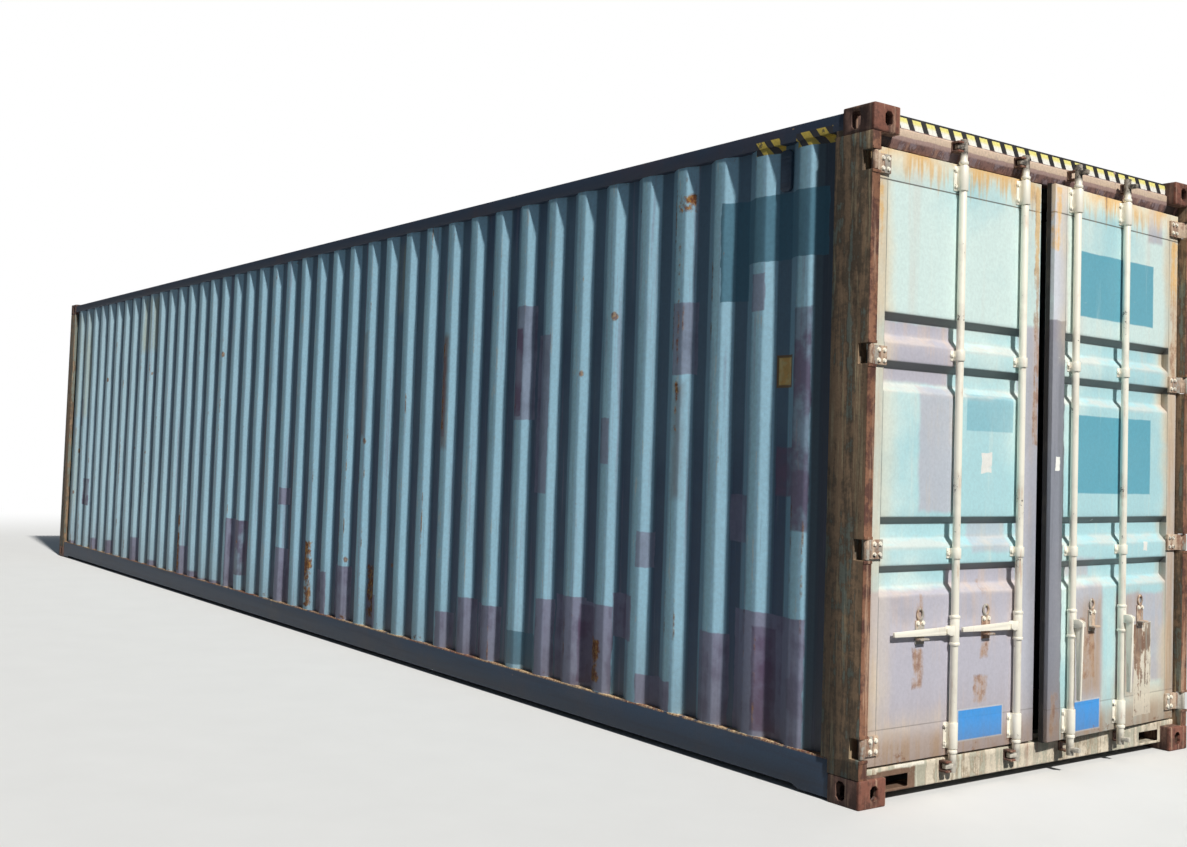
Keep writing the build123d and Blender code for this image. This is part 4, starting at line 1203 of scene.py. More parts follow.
@dataclass(frozen=True)
class StageFinish:
    """The plain pale floor, which turns to white far from the object."""

    name: str = "studio floor"
    bounce: Colour = (0.070, 0.076, 0.090)
    whitens: tuple[float, float] = (9.0, 16.0)

    def build(self) -> bpy.types.Material:
        """Make the material.

        Returns:
            The material.
        """
        book = Book(self.name)
        x, y, _ = book.axes()
        far = ((x - 1.0) * (x - 1.0) + y * y) ** 0.5
        grain = book.noise(3.0, detail=3.0)
        path = book.node("ShaderNodeLightPath")
        seen = Signal(book, path.outputs["Is Camera Ray"]).most(
            Signal(book, path.outputs["Is Glossy Ray"])
        )
        pale = book.mix(paint(236, 236, 235), paint(230, 230, 229), grain)
        book.finish(book.mix(self.bounce, pale, seen), 0.9)
        glow = book.node("ShaderNodeEmission", {}, {"Color": WHITE, "Strength": 1.0})
        share = book.rise(far, *self.whitens) * seen
        both = book.node(
            "ShaderNodeMixShader", {}, {0: share, 1: book.shader.outputs[0], 2: glow.outputs[0]}
        )
        book.feed(book.output.inputs["Surface"], both.outputs[0])
        return book.material


# ------------------------------------------------------------------ modelling


def let_go() -> None:
    """Leave edit mode and select nothing."""
    if bpy.context.object and bpy.context.object.mode != "OBJECT":
        bpy.ops.object.mode_set(mode="OBJECT")
    bpy.ops.object.select_all(action="DESELECT")


def only(piece: bpy.types.Object) -> bpy.types.Object:
    """Select one piece and make it the active one.

    Args:
        piece: The piece.

    Returns:
        The same piece.
    """
    let_go()
    piece.select_set(True)
    bpy.context.view_layer.objects.active = piece
    return piece


def edit(kind: str = "", everything: bool = False) -> None:
    """Enter edit mode to pick one kind of element, all of them if asked.

    Args:
        kind: VERT, EDGE or FACE; the last one unless given.
        everything: Whether all is selected.
    """
    bpy.ops.object.mode_set(mode="EDIT")
    if kind:
        bpy.ops.mesh.select_mode(type=kind)
    if everything:
        bpy.ops.mesh.select_all(action="SELECT")


def leave() -> None:
    """Go back to object mode."""
    bpy.ops.object.mode_set(mode="OBJECT")


def smooth(degrees: float) -> None:
    """Shade the active piece smooth, apart from edges sharper than this."""
    bpy.ops.object.shade_smooth_by_angle(angle=math.radians(degrees))


def pick_edges(piece: bpy.types.Object, test: Callable[[Vector, Vector], bool]) -> None:
    """Select the edges of a piece whose two ends pass a test, and nothing else.

    Args:
        piece: The piece, which becomes the active one.
        test: What the two ends have to pass.
    """
    only(piece)
    points = piece.data.vertices
    for element in (*piece.data.polygons, *points):
        element.select = False
    for edge in piece.data.edges:
        edge.select = test(*(points[i].co for i in edge.vertices))
        if edge.select:
            for i in edge.vertices:
                points[i].select = True


def grow_edge(piece: bpy.types.Object, axis: int, at: float, move: Point) -> None:
    """Extrude the edge that lies at one place of an axis.

    Args:
        piece: The sheet that grows.
        axis: The axis, 0 for X and 2 for Z.
        at: Where on the axis the edge lies.
        move: How far it is extruded.
    """
    pick_edges(piece, lambda *ends: all(abs(end[axis] - at) < NEAR for end in ends))
    edit("EDGE")
    bpy.ops.mesh.extrude_region_move(TRANSFORM_OT_translate={"value": move})
    leave()


def cut_across(axis: int, levels: Iterable[float]) -> None:
    """Cut the piece that is in edit mode across an axis at each of these places.

    Args:
        axis: The axis, 0 to 2.
        levels: The places on it.
    """
    unit = tuple(float(number == axis) for number in range(3))
    for level in levels:
        bpy.ops.mesh.select_all(action="SELECT")
        bpy.ops.mesh.bisect(plane_co=tuple(level * part for part in unit), plane_no=unit)


def even_levels(low: float, high: float, count: int) -> list[float]:
    """The places that divide a span into so many equal parts."""
    return [low + (high - low) * number / count for number in range(1, count)]


def turn_over(piece: bpy.types.Object) -> None:
    """Make the faces of a skin look the other way.

    Args:
        piece: The skin.
    """
    only(piece)
    edit(everything=True)
    bpy.ops.mesh.flip_normals()
    leave()


def settle(piece: bpy.types.Object) -> bpy.types.Object:
    """Put a piece's place into its mesh, so that its object sits at the origin.

    Args:
        piece: The piece.

    Returns:
        The same piece.
    """
    only(piece)
    bpy.ops.object.transform_apply(location=True, rotation=True, scale=True)
    return piece


def box_piece(name: str, low: Point, high: Point) -> bpy.types.Object:
    """A plain block between two corners, as a start for a piece.

    Args:
        name: The piece's name.
        low: Its lowest corner.
        high: Its highest corner.

    Returns:
        The block, with its place in its mesh.
    """
    let_go()
    centre = [(a + b) / 2 for a, b in zip(low, high)]
    bpy.ops.mesh.primitive_cube_add(size=1.0, location=centre)
    piece = bpy.context.object
    piece.name = piece.data.name = name
    piece.scale = [abs(b - a) for a, b in zip(low, high)]
    return settle(piece)


def round_piece(
    name: str, radius: float, centre: Point, depth: float, axis: str = "Z", sides: int = 24
) -> bpy.types.Object:
    """A plain cylinder along one axis, as a start for a piece.

    Args:
        name: The piece's name.
        radius: Its radius.
        centre: Its middle.
        depth: Its length along the axis.
        axis: "X", "Y" or "Z".
        sides: How many sides it has.

    Returns:
        The cylinder, with its place in its mesh.
    """
    let_go()
    turns = {"X": (0, math.pi / 2, 0), "Y": (math.pi / 2, 0, 0), "Z": (0, 0, 0)}
    bpy.ops.mesh.primitive_cylinder_add(
        vertices=sides, radius=radius, depth=depth, location=centre, rotation=turns[axis]
    )
    piece = bpy.context.object
    piece.name = piece.data.name = name
    return settle(piece)


def apply_modifier(piece: bpy.types.Object, kind: str, **settings: Any) -> None:
    """Add a modifier, set it and apply it.

    Args:
        piece: The piece it works on.
        kind: The modifier's type.
        **settings: Its properties.
    """
    only(piece)
    modifier = piece.modifiers.new(kind.title(), kind)
    for key, value in settings.items():
        setattr(modifier, key, value)
    bpy.ops.object.modifier_apply(modifier=modifier.name)


def dent(piece: bpy.types.Object, direction: str, depth: float, scale: float) -> None:
    """Push a skin gently in and out, as years of loads do.

    Args:
        piece: The skin.
        direction: The axis it is pushed along.
        depth: How far it is pushed in all.
        scale: The size of a dent.
    """
    texture = bpy.data.textures.new(piece.name + " ripple", "CLOUDS")
    texture.noise_scale = scale
    apply_modifier(
        piece, "DISPLACE", texture=texture, texture_coords="LOCAL", direction=direction,
        strength=depth, mid_level=0.5,
    )


def thicken(piece: bpy.types.Object, thickness: float) -> None:
    """Give a single skin its thickness behind it, and mark the faces that are new.

    Args:
        piece: The skin.
        thickness: How thick it becomes.
    """
    outer = len(piece.data.polygons)
    apply_modifier(piece, "SOLIDIFY", thickness=thickness, offset=-1.0)
    mark = piece.data.attributes.new(INNER, "FLOAT", "FACE")
    for face in piece.data.polygons:
        mark.data[face.index].value = float(face.index >= outer)
    only(piece)
    smooth(SHEET_SMOOTH)


def soften(piece: bpy.types.Object, width: float, segments: int = 2) -> bpy.types.Object:
    """Round a piece's sharp edges and shade it smooth between them.

    Args:
        piece: The piece.
        width: How wide the rounding is.
        segments: How many faces it has across.

    Returns:
        The same piece.
    """
    apply_modifier(
        piece, "BEVEL", width=width, segments=segments, limit_method="ANGLE",
        angle_limit=math.radians(SHARP),
    )
    only(piece)
    smooth(EDGE_SMOOTH)
    return piece


def join(name: str, pieces: Sequence[bpy.types.Object]) -> bpy.types.Object:
    """Join pieces into one that keeps all their faces.

    Args:
        name: The new name.
        pieces: The pieces, the first of which stays.

    Returns:
        The joined piece.
    """
    let_go()
    for piece in pieces:
        piece.select_set(True)
    bpy.context.view_layer.objects.active = pieces[0]
    if len(pieces) > 1:
        bpy.ops.object.join()
    piece = bpy.context.object
    piece.name = piece.data.name = name
    return piece


def repeated(
    pattern: bpy.types.Object, places: Iterable[Matrix]
) -> list[bpy.types.Object]:
    """Copy a finished pattern to several places, each copy with its own mesh.

    Args:
        pattern: The piece modelled once, around the origin.
        places: Where each copy goes.

    Returns:
        The copies; the pattern itself is deleted.
    """
    copies = []
    for place in places:
        only(pattern)
        bpy.ops.object.duplicate(linked=False)
        copy = bpy.context.object
        copy.matrix_world = place
        copies.append(settle(copy))
    bpy.data.objects.remove(pattern, do_unlink=True)
    return copies


def dress(
    piece: bpy.types.Object, material: bpy.types.Material, body: str, slot: str,
    *nodes: str,
) -> bpy.types.Object:
    """Give a piece its material, its body and the nodes it stands for.

    Args:
        piece: The finished piece.
        material: Its material.
        body: The CAD body that it rides on.
        slot: The record's material slot; not used.
        *nodes: CAD nodes that it replaces.

    Returns:
        The piece.
    """
    piece.data.materials.clear()
    piece.data.materials.append(material)
    if nodes:
        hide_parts(*nodes)
    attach(piece, body)
    LOG.info("%s rides on %s", piece.name, body)
    return piece


def paint_node(name: str, material: bpy.types.Material) -> None:
    """Give a carried-over CAD node its material.

    Args:
        name: The node's name.
        material: Its material.
    """
    node = NODES[name]
    if node.material_slots:
        for slot in node.material_slots:
            slot.material = material
    else:
        node.data.materials.append(material)


FITTING_SIDES = ((6.096, 5.918), (1.219, 1.057))
FITTING_LEVELS = (0.0, 0.118, 2.778, 2.896)
FITTING_RIM = 0.0085
FITTING_ROUND = 0.0075


def on_plane(values: Sequence[float], planes: Sequence[float], reach: float) -> bool:
    """Whether all of these values lie within reach of one of the planes."""
    return any(all(abs(value - plane) < reach for value in values) for plane in planes)


def round_fittings(piece: bpy.types.Object) -> None:
    """Round the long outer edges of cast corner fittings, and not those of their holes.

    Args:
        piece: A copy of the fittings.
    """
    only(piece)
    edit("EDGE")
    bpy.ops.mesh.select_all(action="DESELECT")
    leave()
    points = [tuple(abs(value) for value in point.co) for point in piece.data.vertices]
    for edge in piece.data.edges:
        ends = [points[i] for i in edge.vertices]
        level = on_plane([end[2] for end in ends], FITTING_LEVELS, 0.0004)
        rim = all(
            any(on_plane([end[axis]], FITTING_SIDES[axis], FITTING_RIM) for axis in (0, 1))
            for end in ends
        )
        upright = all(
            on_plane([end[axis] for end in ends], FITTING_SIDES[axis], 0.0004) for axis in (0, 1)
        )
        edge.select = upright or (level and rim)
    edit()
    bpy.ops.mesh.bevel(offset=FITTING_ROUND, segments=3, affect="EDGES", clamp_overlap=False)
    leave()
    for vertex in piece.data.vertices:
        for axis, (reach, _) in enumerate(FITTING_SIDES):
            vertex.co[axis] = max(-reach, min(reach, vertex.co[axis]))


def rounded_copy(
    name: str, node: str, width: float, outer: bool = False
) -> bpy.types.Object:
    """A copy of a CAD node with its corners joined up and its edges rounded.

    Args:
        name: The new piece's name.
        node: The CAD node.
        width: How wide the rounding is.
        outer: Whether it is cast fittings, whose outer edges are rounder.

    Returns:
        The piece.
    """
    let_go()
    piece = bpy.data.objects.new(name, NODES[node].data.copy())
    bpy.context.collection.objects.link(piece)
    only(piece)
    edit(everything=True)
    bpy.ops.mesh.remove_doubles(threshold=0.00002)
    bpy.ops.mesh.dissolve_limited(angle_limit=math.radians(1.0))
    leave()
    if outer:
        round_fittings(piece)
    return soften(piece, width)


# ------------------------------------------------------------------ the pieces


@dataclass
class CorrugatedSheet:
    """A sheet with even waves, modelled flat on and then turned into place."""

    name: str
    start: float
    end: float
    low: float
    high: float
    pitch: float
    flat: float
    slope: float
    depth: float
    waves: int
    bend: float = 0.008
    rows: int = 14
    thickness: float = 0.002
    ripple: float = 0.007
    taper: float = 0.0

    def build(self, place: Matrix, flip: bool = False) -> bpy.types.Object:
        """Model the sheet with its crests on y = 0 and its troughs behind them.

        Args:
            place: The turn and move that put the sheet where it belongs.
            flip: Whether the place turns the faces over.

        Returns:
            The sheet, with its place in its mesh.
        """
        piece = self._profile()
        self._bends(piece)
        only(piece)
        edit()
        cut_across(2, even_levels(self.low, self.high, self.rows))
        leave()
        dent(piece, "Y", self.ripple, 0.42)
        if self.taper:
            self._taper(piece)
        piece.matrix_world = place
        settle(piece)
        if flip:
            turn_over(piece)
        thicken(piece, self.thickness)
        return piece

    def _profile(self) -> bpy.types.Object:
        """Extrude an upright edge through all the bends of the profile.

        Returns:
            The skin, without thickness.
        """
        let_go()
        height = self.high - self.low
        bpy.ops.mesh.primitive_plane_add(
            size=1.0, location=(self.start, self.depth, (self.low + self.high) / 2),
            rotation=(math.pi / 2, 0.0, 0.0),
        )
        piece = bpy.context.object
        piece.name = piece.data.name = self.name
        first = -(self.waves - 1) / 2 * self.pitch - self.flat / 2 - self.slope
        piece.scale = (first - self.start, height, 1.0)
        piece.location.x = (self.start + first) / 2
        settle(piece)
        grow_edge(piece, 0, first, (self.slope, -self.depth, 0.0))
        steps = [
            (self.flat, 0.0), (self.slope, self.depth),
            (self.pitch - self.flat - 2 * self.slope, 0.0), (self.slope, -self.depth),
        ]
        at = first + self.slope
        for number in range(self.waves):
            for run, push in steps[: 4 if number < self.waves - 1 else 2]:
                grow_edge(piece, 0, at, (run, push, 0.0))
                at += run
        grow_edge(piece, 0, at, (self.end - at, 0.0, 0.0))
        return piece

    def _bends(self, piece: bpy.types.Object) -> None:
        """Round every upright bend.

        Args:
            piece: The skin.
        """
        ends = (self.start, self.end)
        pick_edges(piece, lambda one, two: abs(one.x - two.x) < NEAR
                   and all(abs(one.x - end) > 0.002 for end in ends))
        edit("EDGE")
        bpy.ops.mesh.bevel(offset=self.bend, segments=3, affect="EDGES", clamp_overlap=False)
        leave()

    def _taper(self, piece: bpy.types.Object) -> None:
        """Let the waves run out flat at both ends, as pressed ones do.

        Args:
            piece: The skin.
        """
        only(piece)
        edit()
        cut_across(2, (self.low + self.taper, self.high - self.taper))
        bpy.ops.mesh.select_all(action="DESELECT")
        bpy.ops.mesh.select_mode(type="VERT")
        leave()
        for point in piece.data.vertices:
            point.select = min(point.co.z - self.low, self.high - point.co.z) < 0.0001
        edit()
        bpy.ops.transform.resize(
            value=(1.0, 0.0, 1.0), center_override=(0.0, self.depth, 0.0)
        )
        leave()


SIDE_REPAIRS = patches(
    (5.384, 5.461, 2.071, 2.241, 0.8), (4.829, 4.979, 1.796, 2.146, 0.8),
    (3.616, 3.779, 1.171, 2.046, 0.8), (3.379, 3.591, 1.576, 2.226, 0.8),
    (4.591, 4.696, 0.846, 1.021, 0.8), (4.254, 4.336, 1.346, 1.584, 0.8),
    (5.241, 5.379, 1.021, 1.234, 0.8), (5.291, 5.754, 0.178, 0.721),
    (5.066, 5.254, 0.178, 0.596), (4.616, 4.879, 0.178, 0.321),
    (4.391, 4.566, 0.471, 0.696), (4.141, 4.391, 0.178, 0.621),
    (3.866, 4.141, 0.178, 0.634), (3.716, 3.854, 0.178, 0.596),
    (3.066, 3.316, 0.178, 0.496), (2.866, 3.054, 0.178, 0.509),
    (2.616, 2.779, 0.178, 0.396), (2.566, 2.641, 1.471, 1.971, 0.7),
    (1.116, 1.369, 0.165, 0.548), (0.810, 1.018, 0.165, 0.480),
    (0.106, 0.295, 0.178, 0.587), (0.124, 0.263, 0.920, 1.049),
    (-0.957, -0.790, 0.178, 0.746), (1.62, 1.80, 0.165, 0.40),
)
SIDE_DARK_REPAIRS = patches(
    (5.654, 5.754, 1.096, 2.071), (5.529, 5.666, 1.246, 1.459),
    (3.40, 3.50, 1.60, 2.10), (4.10, 4.25, 0.20, 0.60), (5.44, 5.56, 0.20, 0.66),
    (-0.760, -0.550, 0.300, 0.746), (-5.351, -5.088, 0.631, 0.918),
    (-5.60, -5.42, 1.50, 1.80, 0.6),
)
SIDE_REPAINTS = patches(
    (5.160, 5.816, 2.291, 2.590), (5.166, 5.329, 2.125, 2.30), (3.404, 3.716, 0.196, 0.384),
)
SIDE_STICKERS = patches((5.521, 5.634, 1.721, 1.866),)
SIDE_RUSTS = patches(
    (4.826, 4.976, 2.561, 2.690), (4.836, 4.896, 1.496, 2.541),
    (4.191, 4.341, 0.196, 0.471), (2.541, 2.641, 1.496, 2.071),
    (1.60, 1.74, 0.20, 0.62), (0.62, 0.78, 0.18, 0.70), (-2.2, -2.05, 0.18, 0.8),
)
SIDE_SOFT_RUNS = patches(
    (1.42, 1.54, 1.46, 2.18, 0.9), (2.54, 2.66, 1.40, 2.10),
    (-0.30, -0.22, 0.9, 2.0, 0.6), (4.85, 4.91, 1.20, 1.75, 0.6),
    (0.27, 0.37, 0.50, 1.40, 0.5), (3.10, 3.18, 0.55, 1.50, 0.5),
)
SIDE_PALE_RUNS = patches(
    (-5.90, -5.25, 1.60, 2.76, 0.8), (-3.45, -3.05, 2.25, 2.78, 0.9),
    (1.92, 2.00, 2.30, 2.74, 0.7), (-5.88, -5.60, 0.2, 1.5, 0.5),
)
SIDE_HAZARDS = patches((5.641, 5.859, 2.776, 2.838), (5.386, 5.541, 2.776, 2.838))


@dataclass
class Walls:
    """The side walls, the blind end and the roof."""

    end: float = 6.096
    side: float = 1.219
    crest: float = 0.008
    foot: float = 0.178
    head: float = 2.806

    def build(self) -> None:
        """Model and dress the corrugated sheets."""
        wall = WallPaint(
            "wall paint", painted_light_and_fade=0.55, repairs=SIDE_REPAIRS, dark_repairs=SIDE_DARK_REPAIRS,
            repaints=SIDE_REPAINTS, stickers=SIDE_STICKERS, rusts=SIDE_RUSTS,
            soft_runs=SIDE_SOFT_RUNS, pale_runs=SIDE_PALE_RUNS, hazards=SIDE_HAZARDS,
        ).build()
        for side in Side:
            sheet = CorrugatedSheet(
                f"wall_{side.value}", start=-5.918, end=5.881, low=self.foot, high=self.head,
                pitch=0.278, flat=0.072, slope=0.068, depth=0.036, waves=42,
            )
            reach = self.side - self.crest
            if side is Side.LEFT:
                place = Matrix.Translation((0.0, -reach, 0.0))
            else:
                place = Matrix.Translation((0.0, reach, 0.0)) @ Matrix.Diagonal((1, -1, 1, 1))
            piece = sheet.build(place, flip=side is Side.RIGHT)
            dress(piece, wall, "container", "panel_steel", f"side_panel_{side.value}")
        self._blind_end()
        self._roof()

    def _blind_end(self) -> None:
        """The wall opposite the doors, with deeper and wider waves."""
        finish = WallPaint(
            "blind end paint", pitch=0.25, crest=0.055, centred=True, foot=0.15, head=2.79,
        ).build(across=1)
        sheet = CorrugatedSheet(
            "wall_front", start=-1.150, end=1.150, low=0.150, high=2.790,
            pitch=0.250, flat=0.110, slope=0.018, depth=0.045, waves=9, bend=0.006,
        )
        turn = Matrix.Rotation(-math.pi / 2, 4, "Z")
        turn = Matrix.Translation((-self.end + 0.011, 0.0, 0.0)) @ turn
        dress(sheet.build(turn), finish, "container", "panel_steel", "front_panel")

    def _roof(self) -> None:
        """The roof skin, with shallow waves across it."""
        finish = WallPaint(
            "roof paint", base=paint(150, 186, 192), deep=paint(122, 160, 170),
            pitch=0.209, crest=0.0455, centred=True, foot=-5.0, head=9.0,
        ).build()
        sheet = CorrugatedSheet(
            "roof_skin", start=-5.918, end=5.918, low=-1.154, high=1.154,
            pitch=0.209, flat=0.091, slope=0.0135, depth=0.020, waves=57,
            bend=0.004, rows=10, ripple=0.004, taper=0.045,
        )
        turn = Matrix.Translation((0.0, 0.0, 2.888)) @ Matrix.Rotation(-math.pi / 2, 4, "X")
        dress(sheet.build(turn), finish, "container", "panel_steel", "roof_panel")


@dataclass
class Frame:
    """Corner fittings, posts, rails, header, sill and underframe."""

    edge: float = 0.003

    def build(self) -> None:
        """Round and dress the frame's members."""
        casting = RustedSteel(
            "casting steel", rust=paint(126, 96, 84), dark=paint(86, 62, 54),
            light=paint(176, 146, 122), remnant=paint(112, 98, 90), cover=0.1,
            face=paint(132, 84, 68), face_from=6.080,
        ).build()
        post = RustedSteel("post steel", cover=0.55, face=paint(140, 98, 74)).build()
        header = RustedSteel(
            "header steel", rust=paint(140, 108, 102), dark=paint(98, 74, 72),
            light=paint(188, 160, 146), remnant=paint(176, 160, 168), cover=0.6,
            marks=(
                # Painted light and shade on the header bar: a lighter band on its upper half and a
                # darker one below it.
                (Patch(-1.06, 1.06, 2.794, 2.829), paint(222, 198, 174)),
                (Patch(-1.06, 1.06, 2.776, 2.794), paint(178, 150, 142)),
                # Painted shadow: near-black at each end of the header, in the gap under the
                # fittings.
                (Patch(-1.14, -1.055, 2.735, 2.80), paint(46, 36, 34)),
                (Patch(1.055, 1.14, 2.735, 2.80), paint(46, 36, 34)),
            ),
            hazard=Patch(-1.09, 1.09, 2.834, 2.889),
        ).build()
        sill = RustedSteel(
            "sill steel", rust=paint(226, 214, 192), dark=paint(166, 148, 124),
            light=paint(246, 240, 220), remnant=paint(206, 212, 194), cover=0.95,
            marks=(
                (Patch(-0.95, -0.76, 0.131, 0.150), paint(240, 234, 218)),
                (Patch(-1.06, -0.82, 0.036, 0.128), paint(120, 88, 68)),
            ),
        ).build()
        rail = RailPaint(
            "rail paint", base=paint(56, 74, 96), worn=paint(80, 80, 88), edge=0.176,
        ).build()
        top = RailPaint(
            "top rail paint", base=paint(42, 56, 76), worn=paint(66, 56, 66),
            hazards=SIDE_HAZARDS,
        ).build()
        under = RailPaint(
            "underframe paint", base=paint(64, 62, 64), worn=paint(96, 82, 72)
        ).build()
        plan = (
            (("corner_fittings_bottom", "corner_fittings_top"), casting, 0.003, "casting_steel"),
            (("rear_post_left", "rear_post_right", "front_post_left", "front_post_right"),
             post, self.edge, "frame_steel"),
            (("door_header",), header, self.edge, "frame_steel"),
            (("door_sill",), sill, self.edge, "frame_steel"),
            (("front_top_rail",), top, self.edge, "frame_steel"),
            (("front_sill",), under, self.edge, "underframe_steel"),
            (("top_side_rail_left", "top_side_rail_right"), top, 0.004, "frame_steel"),
            (("bottom_side_rail_left", "bottom_side_rail_right"),
             rail, self.edge, "underframe_steel"),
            (("cam_keepers",), casting, 0.0015, "locking_gear"),
        )
        for nodes, material, width, slot in plan:
            for node in nodes:
                piece = rounded_copy(node + "_worn", node, width, outer=slot == "casting_steel")
                dress(piece, material, "container", slot, node)
        for node in ("cross_members", "gooseneck_tunnel"):
            paint_node(node, under)
        paint_node("threshold_plate", sill)
        paint_node("roof_corner_plates", top)
        paint_node("floor", FloorBoards().build())
        vent = RailPaint("ventilator", base=paint(58, 76, 96), worn=paint(84, 104, 118)).build()
        cover = rounded_copy("ventilator_covers", "ventilators", 0.004)
        dress(cover, vent, "container", "vent_plastic", "ventilators")
        Louvres().build(vent)


@dataclass
class Leaf:
    """One door leaf with its sheet, frame, seal, hinges, guides and lock gear."""

    side: Side
    ajar: float = 0.0
    face: float = 6.048
    swages: tuple[float, ...] = SWAGES
    low: float = 0.300
    high: float = 2.597
    free: float = 0.110
    hinge: float = 1.075
    sheet: float = 0.002
    band: float = 0.128
    sunk: float = 0.036
    ramp: float = 0.036
    flat: float = 0.062
    lip: float = 0.030

    @property
    def body(self) -> str:
        """The CAD body that the leaf rides on."""
        return f"{self.side.value}_door"

    @property
    def swing(self) -> Matrix:
        """The turn from the closed leaf to where it stands."""
        about = Matrix.Translation(HINGE_AXIS)
        return about @ Matrix.Rotation(math.radians(self.ajar), 4, "Z") @ about.inverted()

    def build(self, coat: DoorPaint, gear: bpy.types.Material, seal: bpy.types.Material,
              iron: bpy.types.Material) -> None:
        """Model and dress the leaf.

        Args:
            coat: The leaf's paint.
            gear: The finish of the lock gear.
            seal: The finish of the seal.
            iron: The finish of the hinges and catches.
        """
        name = self.side.value
        material = coat.build()
        dress(self._sheet(), material, self.body, "panel_steel", f"{name}_door_panel")
        for copy, node, width, finish, slot in (
            ("leaf_frame", "door_frame", 0.002, material, "frame_steel"),
            ("hinge_leaves", "door_hinges", 0.002, iron, "frame_steel"),
            ("rod_straps", "rod_guides", GEAR_ROUND, gear, "locking_gear"),
            ("catches", "handle_catches", GEAR_ROUND, iron, "locking_gear"),
        ):
            piece = rounded_copy(f"{name}_{copy}", f"{name}_{node}", width)
            dress(piece, finish, self.body, slot, f"{name}_{node}")
        paint_node(f"{name}_door_gasket", seal)
        for rod in ("outer", "inner"):
            for kind in ("rod", "handle"):
                node = f"{name}_{kind}_{rod}"
                piece = rounded_copy(node + "_worn", node, GEAR_ROUND)
                dress(piece, gear, node, "locking_gear", node)

    def _sheet(self) -> bpy.types.Object:
        """The pressed door sheet with its four sunk bands.

        Returns:
            The finished sheet.
        """
        let_go()
        sign = self.side.sign
        middle = sign * (self.free + self.hinge) / 2
        width = self.hinge - self.free
        first = self.swages[-1] - self.band
        bpy.ops.mesh.primitive_plane_add(
            size=1.0, location=(self.face, middle, (self.low + first) / 2),
            rotation=(0.0, math.pi / 2, 0.0),
        )
        piece = bpy.context.object
        piece.name = piece.data.name = f"{self.side.value}_leaf_sheet"
        piece.scale = (first - self.low, width, 1.0)
        settle(piece)
        steps = []
        tops = list(reversed(self.swages))
        for top, above in zip(tops, [*(top - self.band for top in tops[1:]), self.high]):
            steps += [(-self.sunk, self.ramp), (0.0, self.flat), (self.sunk, self.lip)]
            steps.append((0.0, above - top))
        at = first
        for push, rise in steps:
            grow_edge(piece, 2, at, (push, 0.0, rise))
            at += rise
        self._finish_sheet(piece)
        return piece

    def _finish_sheet(self, piece: bpy.types.Object) -> None:
        """Round the bends, dent the sheet, thicken it and swing it with the leaf.

        Args:
            piece: The folded sheet.
        """
        pick_edges(piece, lambda one, two: abs(one.z - two.z) < NEAR
                   and self.low + 0.01 < one.z < self.high - 0.01)
        edit("EDGE")
        bpy.ops.mesh.bevel(offset=0.006, segments=3, affect="EDGES", clamp_overlap=False)
        cut_across(1, (
            self.side.sign * place for place in even_levels(self.free, self.hinge, 16)
        ))
        cut_across(2, even_levels(self.low, self.high, 30))
        bpy.ops.mesh.select_all(action="SELECT")
        bpy.ops.mesh.normals_make_consistent(inside=False)
        leave()
        if sum(face.normal.x * face.area for face in piece.data.polygons) < 0:
            turn_over(piece)
        dent(piece, "X", 0.0025, 0.35)
        thicken(piece, self.sheet)
        if self.ajar:
            piece.matrix_world = self.swing
            settle(piece)
            smooth(SHEET_SMOOTH)


LEFT_COAT = DoorPaint(
    "left leaf paint",
    repairs=patches(
        (-1.075, -0.615, 1.750, 2.010), (-0.840, -0.615, 1.200, 1.740, 0.8),
        (-1.20, -0.610, -0.1, 0.872), (-0.610, -0.11, -0.1, 0.960),
        (-0.118, 0.0, -0.1, 2.06, 0.9), (-0.47, -0.20, 1.02, 1.16, 0.6),
    ),
    fields=patches((-0.525, -0.195, 1.560, 1.720, 0.55),),
    labels=patches((-0.545, -0.240, 0.206, 0.334),),
    blotches=patches(
        (-0.855, -0.765, 0.72, 0.87), (-0.87, -0.77, 0.44, 0.64),
        (-0.42, -0.33, 0.54, 0.64), (-0.46, -0.33, 0.34, 0.49),
        (-0.42, -0.33, 0.80, 0.92, 0.9), (-1.10, -0.96, 0.17, 0.27, 0.85),
    ),
    stains=patches((-1.16, -1.10, 0.15, 2.70), (-1.16, 0.0, 0.10, 0.26)),
    creams=patches((-1.17, -1.03, 0.90, 2.74), (-1.17, -0.66, 0.10, 0.34, 0.5),
            (-1.17, -1.02, 0.10, 0.95, 0.8), (-1.17, 0.0, 2.66, 2.74, 0.9)),
    strips=patches((-1.16, -1.075, 2.30, 2.73), (-1.16, -1.11, 0.9, 2.3, 0.8),
            (-0.06, 0.0, 1.5, 2.73)),
    whites=patches((-0.42, -0.34, 1.37, 1.47),),
)
